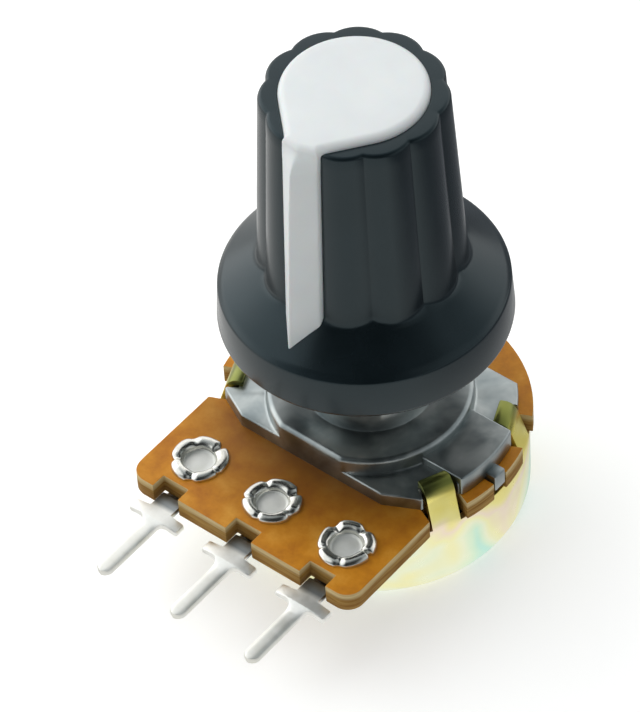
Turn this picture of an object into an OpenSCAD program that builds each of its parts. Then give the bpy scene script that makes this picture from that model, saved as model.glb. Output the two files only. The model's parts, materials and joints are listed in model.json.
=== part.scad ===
// Rotary potentiometer, 16 mm class, with its push-on knob.
// The origin lies on the shaft axis in the mounting face, which is the top of the
// round boss. +Z runs up the shaft and the terminals point towards -Y.

/* [Rear can] */
// Outer radius of the rear can
can_r = 8.5; // [8.3:0.1:9.2]
// Height of the can from its flat back to its rim
can_h = 4.85; // [4.7:0.05:6]
// Sheet thickness of the can and its tabs
can_wall = 0.4; // [0.3:0.05:0.5]
// Outer radius of the bend round the back of the can
can_bend = 1.2; // [0.8:0.1:1.6]
// Width of each folded tab
tab_w = 1.7; // [1.4:0.05:2.2]
// Length of the tab that lies on the front plate
tab_fold = 0.4; // [0.3:0.05:1]
// Distance that a tab leans in between the rim and its fold
tab_lean = 0.8; // [0.5:0.05:0.9]
// Angle of the tabs either side of the X axis
tab_angle = 24; // [23.5:0.5:28]
// Half angle of the rotation stop pressed into the can wall
stop_half_angle = 18.5; // [12:0.5:19]

/* [Terminal board] */
// Thickness of the laminate board
board_t = 1.25; // [1:0.05:1.6]
// Overhang of the board's round half past the can
board_lip = 0.2; // [0.1:0.05:0.8]
// Distance that the board's straight sides lie inside its round half
board_narrow = 1.15; // [0.8:0.05:1.6]
// Distance from the row of rivets to the board's front edge
board_lead = 2.85; // [2.6:0.05:4]
// Corner radius at the board's front
board_corner = 1; // [0.5:0.1:1.4]
// Pitch of the three terminals
pitch = 5; // [4.6:0.1:5.2]
// Distance that the row of rivets lies outside the can
rivet_out = 0; // [-0.2:0.05:0.5]
// Depth of the notch in front of each rivet
terminal_notch_l = 0.9; // [0.6:0.05:1.2]
// Thickness of the printed carbon and silver
film_t = 0.1; // [0.06:0.01:0.15]
// Gap between the carbon track and the can's wall
track_gap = 1; // [0.8:0.05:1.2]
// Share of the ring between board hole and can that the carbon track takes
track_share = 0.357; // [0.3:0.001:0.4]
// Angle covered by the carbon track
track_angle = 300; // [280:5:300]
// Gap between the silver collector ring and the board hole
collector_gap = 0.2; // [0.1:0.05:0.4]
// Share of the ring between board hole and can that the collector takes
collector_share = 0.214; // [0.18:0.001:0.25]

/* [Terminals] */
// Sheet thickness of a terminal
terminal_t = 0.35; // [0.25:0.05:0.5]
// Width of a terminal's neck in the board notch
neck_w = 1.5; // [1:0.1:1.8]
// Width of the shoulder in front of the board
shoulder_w = 3.3; // [2.6:0.1:4]
// Depth of the shoulder along the pin
shoulder_l = 0.65; // [0.5:0.05:1.2]
// Gap from the board's front edge to the shoulder
shoulder_gap = 0.5; // [0.2:0.05:1]
// Drop of the shoulder's ends
shoulder_drop = 0.12; // [0:0.02:0.4]
// Height by which the neck steps up in its notch
neck_rise = 0.4; // [0.2:0.05:0.7]
// Length of the taper from the shoulder to the rolled pin
pin_taper = 0.5; // [0.2:0.05:1]
// Outer width of the rolled pin
pin_w = 1; // [0.8:0.05:1.3]
// Length of the rolled pin from the shoulder to its tip
pin_l = 4.3; // [2.5:0.1:6]
// Downward slope of the pin in degrees
pin_slope = 1; // [0:1:15]
// Outer radius of a rivet barrel
rivet_r = 1; // [0.8:0.05:1.2]
// Outer radius of the flared rivet ring
flare_r = 1.65; // [1.5:0.05:1.9]
// Height of the flared ring above the board
flare_h = 0.4; // [0.3:0.05:0.6]
// Number of splits round the flare
flare_splits = 6; // [4:1:8]

/* [Front plate] */
// Thickness of the die-cast plate on the board
plate_t = 0.85; // [0.6:0.05:1.2]
// Distance that the plate stays inside the can's outer radius
plate_inset = 0.6; // [0.5:0.05:0.8]
// Distance from the axis to the plate's front edge
plate_front = 5.2; // [5:0.1:5.6]
// Distance from the axis to the plate's rear edge
plate_rear = 5.4; // [5:0.1:5.8]
// Length taken off the plate's front edge by the cut across each corner
plate_corner = 1.2; // [0.8:0.1:1.4]
// Radius of the round boss that meets the panel
boss_r = 5.6; // [5.2:0.05:5.8]
// Height of the boss above the plate
boss_h = 1; // [0.7:0.05:1.4]
// Edge rounding of the boss
boss_edge = 0.3; // [0.1:0.05:0.4]
// Height of the side pads above the plate
pad_h = 0.45; // [0.3:0.05:0.6]
// Half width of the side pads
pad_half_w = 2.15; // [1.8:0.05:2.3]
// Distance that the side pads stay inside the can's outer radius
pad_inset = 0.4; // [0.2:0.05:0.5]
// Half angle of the side pads between the tabs
pad_half_angle = 15.5; // [13:0.5:15.5]
// Width of the locating lug that drops into the board
lug_w = 0.85; // [0.6:0.05:1.2]
// Depth of the locating lug in the board
lug_h = 0.65; // [0.4:0.05:0.9]
// Outer radius of the bushing, over its thread
bushing_r = 3.5; // [3.4:0.05:4]
// Length of the bushing above the mounting face
bushing_l = 7; // [5:0.25:7]
// Chamfer at the bushing's mouth
bushing_chamfer = 0.4; // [0.2:0.05:0.45]

/* [Shaft] */
// Radius of the shaft
shaft_r = 3; // [2.9:0.05:3.1]
// Distance from the mounting face to the shaft's tip
shaft_l = 15; // [14:0.5:18]
// Radial clearance of the shaft in its bushing
shaft_clear = 0.05; // [0.02:0.01:0.08]
// Number of splines round the shaft
spline_n = 18; // [12:1:24]
// Depth of a spline groove
spline_depth = 0.25; // [0.15:0.05:0.35]
// Distance from the bushing's mouth to the foot of the splines
spline_start = 1; // [0.9:0.05:1.5]
// Width of the slot across the shaft's tip
slot_w = 1; // [0.8:0.1:1.4]
// Distance from the foot of the splines to the floor of the slot
slot_start = 1; // [0.5:0.25:3]
// Chamfer at the shaft's tip
shaft_chamfer = 0.4; // [0.2:0.05:0.5]
// Radius of the collar that holds the shaft in
collar_r = 3.6; // [3.5:0.05:3.7]
// Thickness of the collar
collar_t = 1.3; // [1:0.05:1.5]
// Radius of the rotor's seat on the shaft
seat_r = 2.4; // [2.2:0.05:2.6]
// Radius of the pivot at the shaft's rear end
pivot_r = 1.5; // [1:0.1:1.8]
// Thickness of the retaining clip
clip_t = 0.5; // [0.4:0.05:0.6]
// Depth of the clip's groove
clip_groove = 0.4; // [0.3:0.05:0.5]
// Outer radius of the retaining clip
clip_r = 3.4; // [3.3:0.05:3.45]
// Thickness of the thrust washer
washer_t = 0.3; // [0.2:0.05:0.4]

/* [Rotor] */
// Gap between the rotor disc and the can's wall
rotor_gap = 0.9; // [0.8:0.05:1.1]
// Thickness of the rotor disc
rotor_t = 1; // [0.8:0.05:1.2]
// Half angle of the rotor's stop lug
lug_half_angle = 11; // [8:0.5:11]
// Gap between the rotor's stop lug and the can's wall
rotor_lug_gap = 0.25; // [0.2:0.05:0.4]
// Wall of the rotor's hub round the shaft's seat
rotor_hub = 1.2; // [0.9:0.05:1.4]
// Room between the rotor disc and the board for the wiper
wiper_room = 1; // [0.9:0.05:1.3]
// Sheet thickness of the wiper spring
wiper_t = 0.18; // [0.12:0.02:0.24]
// Width of one wiper finger
finger_w = 0.3; // [0.2:0.05:0.35]
// Length of the bowed wiper fingers
finger_l = 1.9; // [1.6:0.05:2.2]
// Gap left between the wiper's contacts and the films
wiper_gap = 0.06; // [0.03:0.01:0.1]

/* [Knob] */
// Outer radius at the skirt's lower edge
skirt_r = 7.85; // [7.6:0.05:8.3]
// Inward draft of the skirt wall
skirt_draft = 0.13; // [0:0.01:0.25]
// Height of the skirt's wall
skirt_h = 2.6; // [2.2:0.1:3.2]
// Rise of the sloping shoulder from the wall to the grip
slope_h = 1.95; // [1.4:0.05:2.4]
// Rounding of the skirt's edges
skirt_edge = 0.3; // [0.1:0.05:0.4]
// Wall thickness of the hollow skirt
skirt_wall = 0.95; // [0.8:0.05:1.1]
// Height of the whole knob without its cap
knob_h = 15.8; // [14.5:0.1:18]
// Gap between the retaining clip and the knob's hub when pushed on
hub_gap = 0.66; // [0.4:0.02:1]
// Radius over the grip's lobes at its foot
grip_foot_r = 5.52; // [5.3:0.02:5.7]
// Radius over the grip's lobes at its top
grip_top_r = 4.88; // [4.7:0.02:5.1]
// Depth of the valleys between lobes at the foot
valley = 0.3; // [0.15:0.05:0.4]
// Number of lobes, beside the place of the pointer
lobes = 11; // [9:2:11]
// Angle between neighbouring lobes
lobe_pitch = 31.25; // [31:0.25:32]
// Rounding round the top of the grip
grip_edge = 0.2; // [0.1:0.05:0.5]
// Radius of the knob's hub inside the skirt
hub_r = 4.25; // [4.1:0.05:4.5]
// Distance that the hub stays above the skirt's lower edge
hub_recess = 2.4; // [2.3:0.1:2.6]
// Room between the shaft's tip and the end of the splined bore
bore_room = 0.44; // [0.3:0.02:1]
// Radial clearance between the splines
spline_clear = 0.05; // [0.03:0.01:0.08]
// Number of ribs under the skirt
rib_n = 6; // [4:1:8]
// Thickness of a rib
rib_t = 0.8; // [0.6:0.05:1]

/* [Pointer cap] */
// Direction in which the pointer looks at mid travel
pointer_angle = -85.5; // [-95:0.5:-80]
// Radius of the cap's round part
cap_r = 3.86; // [3.5:0.02:4]
// Height of the cap above the grip
cap_proud = 0.45; // [0.3:0.05:0.6]
// Depth of the cap's seat in the grip
cap_seat = 1; // [0.6:0.1:1.4]
// Edge rounding of the cap
cap_edge = 0.4; // [0.2:0.05:0.45]
// Half width of the pointer
pointer_half_w = 1.07; // [0.9:0.01:1.2]
// Distance from the axis to the ridge at its upper end
ridge_top_r = 5.5; // [5.2:0.05:5.6]
// Distance from the axis to the point of the ridge on the skirt
ridge_foot_r = 6.95; // [6.5:0.05:7.2]
// Distance from the axis to the root of the pointer in its slot
pointer_root = 3.7; // [3.6:0.05:3.9]
// Clearance round the cap in its seat
cap_clear = 0.03; // [0.02:0.01:0.06]

/* [Hidden] */
$fn = 64;

// Cutting tools run this far past the faces that they cut
past = 1;
// Two solids of one node share this much so that they fuse
fuse = 0.1;

// Levels along the axis, from the mounting face down
plate_top = -boss_h;
board_top = plate_top - plate_t;
board_bottom = board_top - board_t;
film_bottom = board_bottom - film_t;
can_back = board_bottom - can_h;
can_floor = can_back + can_wall;
can_in_r = can_r - can_wall;

// Outlines that follow the can
board_r = can_r + board_lip;
board_half_w = board_r - board_narrow;
rivet_y = can_r + rivet_out;
board_front = rivet_y + board_lead;
plate_r = can_r - plate_inset;
pad_reach = can_r - pad_inset;

// Board openings
notch_clear = 0.3;
notch_w = tab_w + 2 * notch_clear;
board_hole_r = collar_r + 0.3;
rivet_clear = 0.05;
terminal_notch_w = neck_w + 2 * 0.1;
lug_clear = 0.08;
lug_in = pad_reach - 0.4;

// Rings of the printed films
film_ring = can_in_r - board_hole_r;
track_out = can_in_r - track_gap;
track_in = track_out - track_share * film_ring;
collector_in = board_hole_r + collector_gap;
collector_out = collector_in + collector_share * film_ring;
tab_angles = [-tab_angle, tab_angle, 180 - tab_angle, 180 + tab_angle];

// Rivet heads behind the terminals, and the relief in the can's rim for them
rivet_head_t = 0.3;
relief_h = film_t + terminal_t + rivet_head_t + 0.15;

// Tab geometry
tab_top = plate_top + can_wall;
fold_r = can_r - tab_lean;
tab_slot_in = fold_r - can_wall - 0.1;

// Shaft levels
washer_gap = 0.03;
collar_top = board_top - washer_t - 2 * washer_gap;
collar_bottom = collar_top - collar_t;
pivot_gap = 0.2;
pivot_end = can_floor + pivot_gap;
rotor_top = board_bottom - wiper_room;
rotor_bottom = rotor_top - rotor_t;
rotor_r = can_in_r - rotor_gap;
rotor_hub_r = seat_r + rotor_hub;
stop_gap = 0.12;
edge_clear = 0.03;
seat_clear = 0.03;
seat_flat = 0.6 * seat_r;
clip_clear = 0.03;
clip_z = bushing_l + 0.08;
spline_foot = bushing_l + spline_start;
slot_floor = spline_foot + slot_start;

// The spline crests lie this far under the plain shaft
spline_below = 0.03;

// Knob levels
hub_foot = clip_z + clip_t + hub_gap;
knob_foot = hub_foot - hub_recess;
bore_end = shaft_l + bore_room;
wall_top = knob_foot + skirt_h;
grip_foot = wall_top + slope_h;
knob_top = knob_foot + knob_h;
cap_top = knob_top + cap_proud;
cap_floor = knob_top - cap_seat;
shoulder_r = skirt_r - skirt_draft;
grip_h = knob_top - grip_foot;
taper = grip_top_r / grip_foot_r;

// A lobe is a slim cone whose circle passes through the crest and both valleys
valley_r = grip_foot_r - valley;
lobe_c = (grip_foot_r * grip_foot_r - valley_r * valley_r)
    / (2 * (grip_foot_r - valley_r * cos(lobe_pitch / 2)));
lobe_r = grip_foot_r - lobe_c;

module ring(r_out, r_in, h) {
    difference() {
        cylinder(r = r_out, h = h);
        translate([0, 0, -past]) cylinder(r = r_in, h = h + 2 * past);
    }
}

// Wedge seen from above, from angle a0 to a1, that reaches past radius r
module sector(r, a0, a1) {
    steps = max(2, ceil((a1 - a0) / 45));
    far = 2 * r;
    polygon(concat([[0, 0]], [for (i = [0:steps])
        let (a = a0 + (a1 - a0) * i / steps) [far * cos(a), far * sin(a)]]));
}

module film_arc(r_in, r_out, a0, a1) {
    intersection() {
        difference() {
            circle(r_out);
            circle(r_in);
        }
        sector(r_out, a0, a1);
    }
}

// Half section of a cup with a rounded lower edge
module cup_section(r, h, bend) {
    square([r - bend, h]);
    translate([0, bend]) square([r, h - bend]);
    translate([r - bend, bend]) circle(bend);
}

// Side view of a tab: up through the board, leaning in, then folded over the plate
module tab_section() {
    bend_out = can_wall + 0.1;
    bend_steps = 6;
    fold_tip = fold_r - can_wall - tab_fold;
    polygon(concat(
        [[can_in_r, board_bottom - 0.6], [can_r, board_bottom - 0.6], [can_r, board_bottom]],
        [for (i = [0:bend_steps]) let (a = 90 * i / bend_steps)
            [fold_r - bend_out + bend_out * cos(a), tab_top - bend_out + bend_out * sin(a)]],
        [[fold_tip, tab_top], [fold_tip, plate_top], [fold_r - can_wall, plate_top],
         [can_in_r, board_bottom]]));
}

// The tabs are cut from the round wall, so they stay curved in plan
module tabs() {
    intersection() {
        rotate_extrude() tab_section();
        translate([0, 0, can_back]) linear_extrude(2 * can_h) for (a = tab_angles)
            rotate(a) translate([0, -tab_w / 2]) square([2 * can_r, tab_w]);
    }
}

module rear_can() {
    color("khaki") {
        difference() {
            union() {
                translate([0, 0, can_back]) rotate_extrude() difference() {
                    cup_section(can_r, can_h, can_bend);
                    translate([0, can_wall])
                        cup_section(can_in_r, can_h, can_bend - can_wall);
                }
                tabs();
                rotation_stop();
            }
            // Relief in the rim where the silver leads, terminals and rivets cross it
            translate([0, 0, board_bottom - relief_h]) linear_extrude(relief_h + past) intersection() {
                difference() {
                    circle(can_r + past);
                    circle(can_in_r - 0.2);
                }
                sector(can_r, -140, -40);
            }
        }
    }
}

// Indent of the can wall that the rotor's lug meets at each end of its travel
module rotation_stop() {
    stop_in = rotor_r + stop_gap;
    translate([0, 0, can_floor - fuse]) linear_extrude(rotor_top - can_floor + fuse)
        film_arc(stop_in, can_in_r + fuse, -90 - stop_half_angle, -90 + stop_half_angle);
}

module board_outline() {
    circle(board_r);
    translate([-board_half_w, -board_front + board_corner])
        square([2 * board_half_w, board_front - board_corner]);
    translate([-board_half_w + board_corner, -board_front])
        square([2 * (board_half_w - board_corner), board_corner + 1]);
    for (s = [-1, 1]) translate([s * (board_half_w - board_corner), -board_front + board_corner])
        circle(board_corner);
}

module terminal_board() {
    color("peru") translate([0, 0, board_bottom]) linear_extrude(board_t) difference() {
        board_outline();
        circle(board_hole_r);
        for (a = tab_angles) rotate(a)
            translate([tab_slot_in, -notch_w / 2]) square([board_r, notch_w]);
        translate([lug_in - lug_clear, -lug_w / 2 - lug_clear])
            square([board_r, lug_w + 2 * lug_clear]);
        for (i = [-1:1]) translate([i * pitch, 0]) {
            translate([0, -rivet_y]) circle(rivet_r + rivet_clear);
            translate([-terminal_notch_w / 2, -board_front - past])
                square([terminal_notch_w, terminal_notch_l + past]);
        }
    }
}

module carbon_track() {
    color("#1c1c1e") translate([0, 0, film_bottom]) linear_extrude(film_t)
        film_arc(track_in, track_out, 90 - track_angle / 2, 90 + track_angle / 2);
}

// Silver from one end of the track to the rivet on the same side; side is 1 or -1
module end_pad(side) {
    track_end = 90 - track_angle / 2;
    pad_arc = 12;
    lead_w = 1.8;
    mid_r = (track_in + track_out) / 2;
    start = [mid_r * cos(track_end - pad_arc / 2), mid_r * sin(track_end - pad_arc / 2)];
    lead = [pitch, -rivet_y] - start;
    color("silver") translate([0, 0, film_bottom]) linear_extrude(film_t)
        mirror([side < 0 ? 1 : 0, 0]) difference() {
            union() {
                film_arc(track_in, track_out, track_end - pad_arc, track_end);
                translate([pitch, -rivet_y]) circle(flare_r);
                intersection() {
                    translate(start) rotate(atan2(lead[1], lead[0]))
                        translate([0, -lead_w / 2]) square([norm(lead), lead_w]);
                    sector(rivet_y + pitch, track_end - 35, track_end);
                }
            }
            translate([pitch, -rivet_y]) circle(rivet_r + rivet_clear);
        }
}

module collector_ring() {
    lead_w = 1.4;
    color("silver") translate([0, 0, film_bottom]) linear_extrude(film_t) difference() {
        union() {
            circle(collector_out);
            translate([-lead_w / 2, -rivet_y]) square([lead_w, rivet_y]);
            translate([0, -rivet_y]) circle(flare_r);
        }
        circle(collector_in);
        translate([0, -rivet_y]) circle(rivet_r + rivet_clear);
    }
}

// Hollow rivet through the board, the silver and the terminal, flared on the board
module rivet(x) {
    hollow_r = rivet_r - 0.2;
    hollow_floor = board_top - 0.25;
    head_z = film_bottom - terminal_t - rivet_head_t;
    lip = flare_h / 2;
    color("gainsboro") translate([x, -rivet_y, 0]) difference() {
        union() {
            translate([0, 0, head_z]) cylinder(r = flare_r - 0.2, h = rivet_head_t);
            translate([0, 0, head_z]) cylinder(r = rivet_r, h = board_top - head_z + fuse);
            translate([0, 0, board_top]) rotate_extrude() {
                translate([hollow_r, 0]) square([flare_r - hollow_r - lip, flare_h]);
                translate([hollow_r, 0]) square([flare_r - hollow_r, lip]);
                translate([flare_r - lip, lip]) circle(lip);
            }
        }
        translate([0, 0, hollow_floor]) cylinder(r = hollow_r, h = flare_h + past);
        translate([0, 0, board_top + flare_h - 0.25])
            cylinder(r1 = hollow_r, r2 = hollow_r + 0.3, h = 0.3);
        for (i = [0:flare_splits - 1]) rotate(i * 360 / flare_splits + 12)
            translate([rivet_r + 0.3, -0.11, board_top + 0.06])
                cube([flare_r, 0.22, flare_h + past]);
    }
}

// Stamped terminal: eye under the rivet, neck, dropped shoulder and rolled pin
module terminal(x) {
    neck_y = -board_front;
    shoulder_y = neck_y - shoulder_gap;
    front_y = shoulder_y - shoulder_l;
    z_top = film_bottom;
    z_pin = z_top + neck_rise;
    pin_sink = 0.04;
    eye_r = flare_r;
    pin_r = pin_w / 2;
    wing = shoulder_w / 2 - neck_w / 2;
    notch_y = neck_y + terminal_notch_l;
    rise_l = terminal_notch_l / 3;
    step_up = [[notch_y + 2 * fuse, 0], [notch_y - fuse / 2, 0],
        [notch_y - rise_l, neck_rise], [shoulder_y - fuse, neck_rise]];
    color("gainsboro") translate([x, 0, 0]) difference() {
        union() {
            translate([0, 0, z_top - terminal_t]) linear_extrude(terminal_t) {
                translate([0, -rivet_y]) circle(eye_r);
                translate([-neck_w / 2, notch_y]) square([neck_w, -rivet_y - notch_y]);
            }
            // Neck, which steps up in the notch on its way past the board's front edge
            rotate([90, 0, -90]) translate([0, 0, -neck_w / 2]) linear_extrude(neck_w)
                polygon(concat(
                    [for (p = step_up) [-p[0], z_top + p[1]]],
                    [for (i = [len(step_up) - 1:-1:0])
                        [-step_up[i][0], z_top + step_up[i][1] - terminal_t]]));
            // Shoulder, with both ends turned down
            translate([0, shoulder_y, z_pin]) rotate([90, 0, 0]) linear_extrude(shoulder_l)
                polygon([[-neck_w / 2, 0], [neck_w / 2, 0],
                    [neck_w / 2 + wing, -shoulder_drop],
                    [neck_w / 2 + wing, -shoulder_drop - terminal_t],
                    [neck_w / 2, -terminal_t], [-neck_w / 2, -terminal_t],
                    [-neck_w / 2 - wing, -shoulder_drop - terminal_t],
                    [-neck_w / 2 - wing, -shoulder_drop]]);
            // Taper from the neck's width to the pin's
            translate([0, 0, z_pin - terminal_t]) linear_extrude(terminal_t)
                polygon([[-neck_w / 2, front_y + fuse], [-neck_w / 2, front_y],
                    [-pin_r, front_y - pin_taper], [-pin_r, front_y - pin_taper - fuse],
                    [pin_r, front_y - pin_taper - fuse], [pin_r, front_y - pin_taper],
                    [neck_w / 2, front_y], [neck_w / 2, front_y + fuse]]);
            // Pin, rolled to a half tube with a round end
            translate([0, front_y + 0.2, z_pin - pin_sink]) rotate([pin_slope, 0, 0]) intersection() {
                rotate([90, 0, 0]) linear_extrude(pin_l + 0.2) translate([0, -pin_r])
                    intersection() {
                        difference() {
                            circle(pin_r);
                            translate([0, -0.12]) circle(pin_r - terminal_t + 0.08);
                        }
                        translate([-pin_r, -0.25]) square([2 * pin_r, 2 * pin_r]);
                    }
                translate([0, 0, -2 * pin_r]) linear_extrude(3 * pin_r) {
                    translate([0, -pin_l - 0.2 + pin_r]) circle(pin_r);
                    translate([-pin_r, -pin_l - 0.2 + pin_r]) square([pin_w, pin_l + 0.2]);
                }
            }
        }
        translate([0, -rivet_y, z_top - terminal_t - past])
            cylinder(r = rivet_r + rivet_clear, h = terminal_t + 2 * past);
    }
}

module plate_outline() {
    plate_slot_w = tab_w + notch_clear;
    cut_x = sqrt(plate_r * plate_r - plate_front * plate_front) - plate_corner;
    cut_l = 3 * plate_corner;
    difference() {
        intersection() {
            circle(plate_r);
            translate([-plate_r, -plate_front]) square([2 * plate_r, plate_front + plate_rear]);
        }
        for (a = tab_angles) rotate(a)
            translate([tab_slot_in, -plate_slot_w / 2]) square([plate_r, plate_slot_w]);
        for (s = [-1, 1])
            polygon([[s * cut_x, -plate_front], [s * (cut_x + cut_l), -plate_front + cut_l / 2],
                [s * (cut_x + cut_l), -plate_front - past], [s * cut_x, -plate_front - past]]);
    }
}

// Raised pad at each side of the boss, between the folded tabs
module side_pad() {
    translate([0, 0, board_top]) linear_extrude(plate_t + pad_h) intersection() {
        translate([boss_r - 0.5, -pad_half_w]) square([pad_reach - boss_r + 0.5, 2 * pad_half_w]);
        sector(pad_reach, -pad_half_angle, pad_half_angle);
    }
}

module front_plate() {
    bore_r = shaft_r + shaft_clear;
    color("#8f979a") difference() {
        union() {
            translate([0, 0, board_top]) linear_extrude(plate_t) plate_outline();
            intersection() {
                translate([0, 0, board_top]) rotate_extrude() {
                    square([boss_r - boss_edge, plate_t + boss_h]);
                    square([boss_r, plate_t + boss_h - boss_edge]);
                    translate([boss_r - boss_edge, plate_t + boss_h - boss_edge])
                        circle(boss_edge);
                }
                translate([-boss_r, -plate_front, board_top])
                    cube([2 * boss_r, 2 * boss_r, plate_t + boss_h]);
            }
            side_pad();
            mirror([1, 0, 0]) side_pad();
            // Locating lug in the keyed notch of the board
            translate([lug_in, -lug_w / 2, board_top - lug_h])
                cube([board_r - lug_in, lug_w, lug_h + plate_t / 2]);
            rotate_extrude() polygon([[0, -fuse], [bushing_r, -fuse],
                [bushing_r, bushing_l - bushing_chamfer],
                [bushing_r - bushing_chamfer, bushing_l], [0, bushing_l]]);
        }
        translate([0, 0, board_top - past])
            cylinder(r = bore_r, h = bushing_l - board_top + 2 * past);
    }
}

module thrust_washer() {
    color("lightsteelblue") translate([0, 0, board_top - washer_gap - washer_t])
        ring(collar_r, shaft_r + 0.1, washer_t);
}

// Outline of the splined end; grow widens it all round for the knob's bore
module spline_outline(grow) {
    crest = shaft_r - spline_below + grow;
    root = crest - spline_depth;
    step = 360 / spline_n;
    polygon([for (i = [0:spline_n - 1], k = [0:3])
        let (a = step * (i + [0, 0.4, 0.5, 0.9][k]), r = [crest, crest, root, root][k])
            [r * cos(a), r * sin(a)]]);
}

module shaft() {
    groove_r = shaft_r - clip_groove;
    color("lightgray") difference() {
        union() {
            rotate_extrude() polygon([[0, pivot_end], [pivot_r - 0.3, pivot_end],
                [pivot_r, pivot_end + 0.3], [pivot_r, rotor_bottom - 0.15],
                [seat_r, rotor_bottom - 0.15], [seat_r, collar_bottom],
                [collar_r, collar_bottom], [collar_r, collar_top],
                [shaft_r, collar_top], [shaft_r, clip_z], [groove_r, clip_z],
                [groove_r, clip_z + clip_t + 2 * clip_clear], [shaft_r, clip_z + clip_t + 2 * clip_clear],
                [shaft_r, spline_foot + fuse], [0, spline_foot + fuse]]);
            intersection() {
                translate([0, 0, spline_foot]) linear_extrude(shaft_l - spline_foot) spline_outline(0);
                rotate_extrude() polygon([[0, spline_foot - past],
                    [shaft_r + past, spline_foot - past],
                    [shaft_r + past, shaft_l - shaft_chamfer - past],
                    [shaft_r - shaft_chamfer - past, shaft_l + past], [0, shaft_l + past]]);
            }
        }
        translate([-2 * shaft_r, -slot_w / 2, slot_floor])
            cube([4 * shaft_r, slot_w, shaft_l - slot_floor + past]);
        // Two flats that key the rotor to the shaft
        for (s = [0, 180]) rotate(s)
            translate([seat_flat, -seat_r, pivot_end - past])
                cube([seat_r, 2 * seat_r, collar_bottom - pivot_end + past]);
    }
}

module retaining_clip() {
    clip_in = shaft_r - clip_groove + clip_clear;
    color("slategray") translate([0, 0, clip_z + clip_clear]) difference() {
        ring(clip_r, clip_in, clip_t);
        translate([0, -clip_in * 0.8, -past]) cube([2 * clip_r, 1.6 * clip_in, clip_t + 2 * past]);
    }
}

module rotor() {
    hub_h = collar_bottom - seat_clear - rotor_bottom;
    lug_root = rotor_r - rotor_hub;
    pocket_rim = 0.75 * rotor_hub;
    color("#2a2a2c") difference() {
        union() {
            translate([0, 0, rotor_bottom]) cylinder(r = rotor_r, h = rotor_t);
            translate([0, 0, rotor_bottom]) cylinder(r = rotor_hub_r, h = hub_h);
            translate([0, 0, rotor_bottom]) linear_extrude(rotor_t)
                film_arc(lug_root, can_in_r - rotor_lug_gap,
                    90 - lug_half_angle, 90 + lug_half_angle);
        }
        // Keyed hole with the same two flats as the shaft
        translate([0, 0, rotor_bottom - past]) linear_extrude(hub_h + 2 * past)
            intersection() {
                circle(seat_r + seat_clear);
                square([2 * (seat_flat + seat_clear), 4 * seat_r], center = true);
            }
        // Lightening pocket behind the disc
        translate([0, 0, rotor_bottom - past]) linear_extrude(past + rotor_t / 2)
            film_arc(rotor_hub_r + pocket_rim, rotor_r - pocket_rim, 200, 340);
    }
}

// Spring sheet: a base on the rotor and two groups of fingers bowed up to the films
module wiper() {
    base_z = rotor_top;
    reach = film_bottom - wiper_gap - base_z;
    base_l = 0.58 * finger_l;
    dip = finger_l / 2;
    track_mid = (track_in + track_out) / 2;
    collector_mid = (collector_in + collector_out) / 2;
    fingers = [track_mid - 1.2 * finger_w, track_mid, track_mid + 1.2 * finger_w,
        collector_mid - 0.7 * finger_w, collector_mid + 0.7 * finger_w];
    color("goldenrod") {
        translate([0, 0, base_z]) linear_extrude(wiper_t) intersection() {
            translate([-finger_l - base_l, collector_in])
                square([base_l + fuse, track_out - collector_in]);
            circle(rotor_r - edge_clear);
        }
        for (y = fingers) translate([0, y + finger_w / 2, base_z]) rotate([90, 0, 0])
            linear_extrude(finger_w) polygon([[-finger_l - fuse, 0], [-finger_l, 0],
                [-0.3 * dip, reach - wiper_t], [0.25 * dip, reach - wiper_t],
                [0.85 * dip, reach - 2.5 * wiper_t], [dip, reach - 1.6 * wiper_t],
                [0.35 * dip, reach], [-0.4 * dip, reach],
                [-finger_l, wiper_t], [-finger_l - fuse, wiper_t]]);
    }
}

// Half section of the knob's outside: skirt wall, rounded edges and sloping shoulder
module skirt_section() {
    e = skirt_edge;
    polygon(concat(
        [[0, knob_foot]],
        [for (i = [0:4]) let (a = -90 + 90 * i / 4)
            [skirt_r - e + e * cos(a), knob_foot + e + e * sin(a)]],
        [for (i = [0:4]) let (a = 62 * i / 4)
            [shoulder_r - e + e * cos(a), wall_top - e + e * sin(a)]],
        [[grip_foot_r - valley, grip_foot], [0, grip_foot]]));
}

module skirt_hollow() {
    roof = grip_foot - 1.35 * skirt_wall;
    polygon([[0, knob_foot - past], [skirt_r - skirt_wall, knob_foot - past],
        [shoulder_r - skirt_wall, wall_top - skirt_wall], [hub_r + 0.5, roof - 0.3],
        [hub_r, roof - 0.3], [hub_r, hub_foot], [0, hub_foot]]);
}

// One lobe of the grip, leaning in as the grip narrows
module lobe() {
    low = slope_h / 2;
    tall = grip_h + low;
    c_top = lobe_c * taper;
    lean = atan2(lobe_c - c_top, tall);
    translate([lobe_c, 0, grip_foot - low]) rotate([0, -lean, 0])
        cylinder(r1 = lobe_r, r2 = lobe_r * taper, h = tall + past);
}

// Rounded envelope that ends all lobes in one smooth rim
module grip_envelope() {
    slim = 0.06;
    r_top = grip_top_r + slim;
    translate([0, 0, grip_foot - slope_h]) rotate_extrude() polygon(concat(
        [[0, 0], [grip_foot_r + 1, 0], [grip_foot_r + 1, slope_h],
         [grip_foot_r + slim, slope_h]],
        [for (i = [0:6]) let (a = 90 * i / 6)
            [r_top - grip_edge + grip_edge * cos(a),
             slope_h + grip_h - grip_edge + grip_edge * sin(a)]],
        [[0, slope_h + grip_h]]));
}

module grip() {
    intersection() {
        union() {
            translate([0, 0, grip_foot - slope_h / 2])
                cylinder(r1 = valley_r + 0.02, r2 = valley_r * taper, h = grip_h + slope_h / 2);
            for (i = [0:lobes - 1])
                rotate(pointer_angle + 180 + (i - (lobes - 1) / 2) * lobe_pitch) lobe();
        }
        grip_envelope();
    }
}

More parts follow.
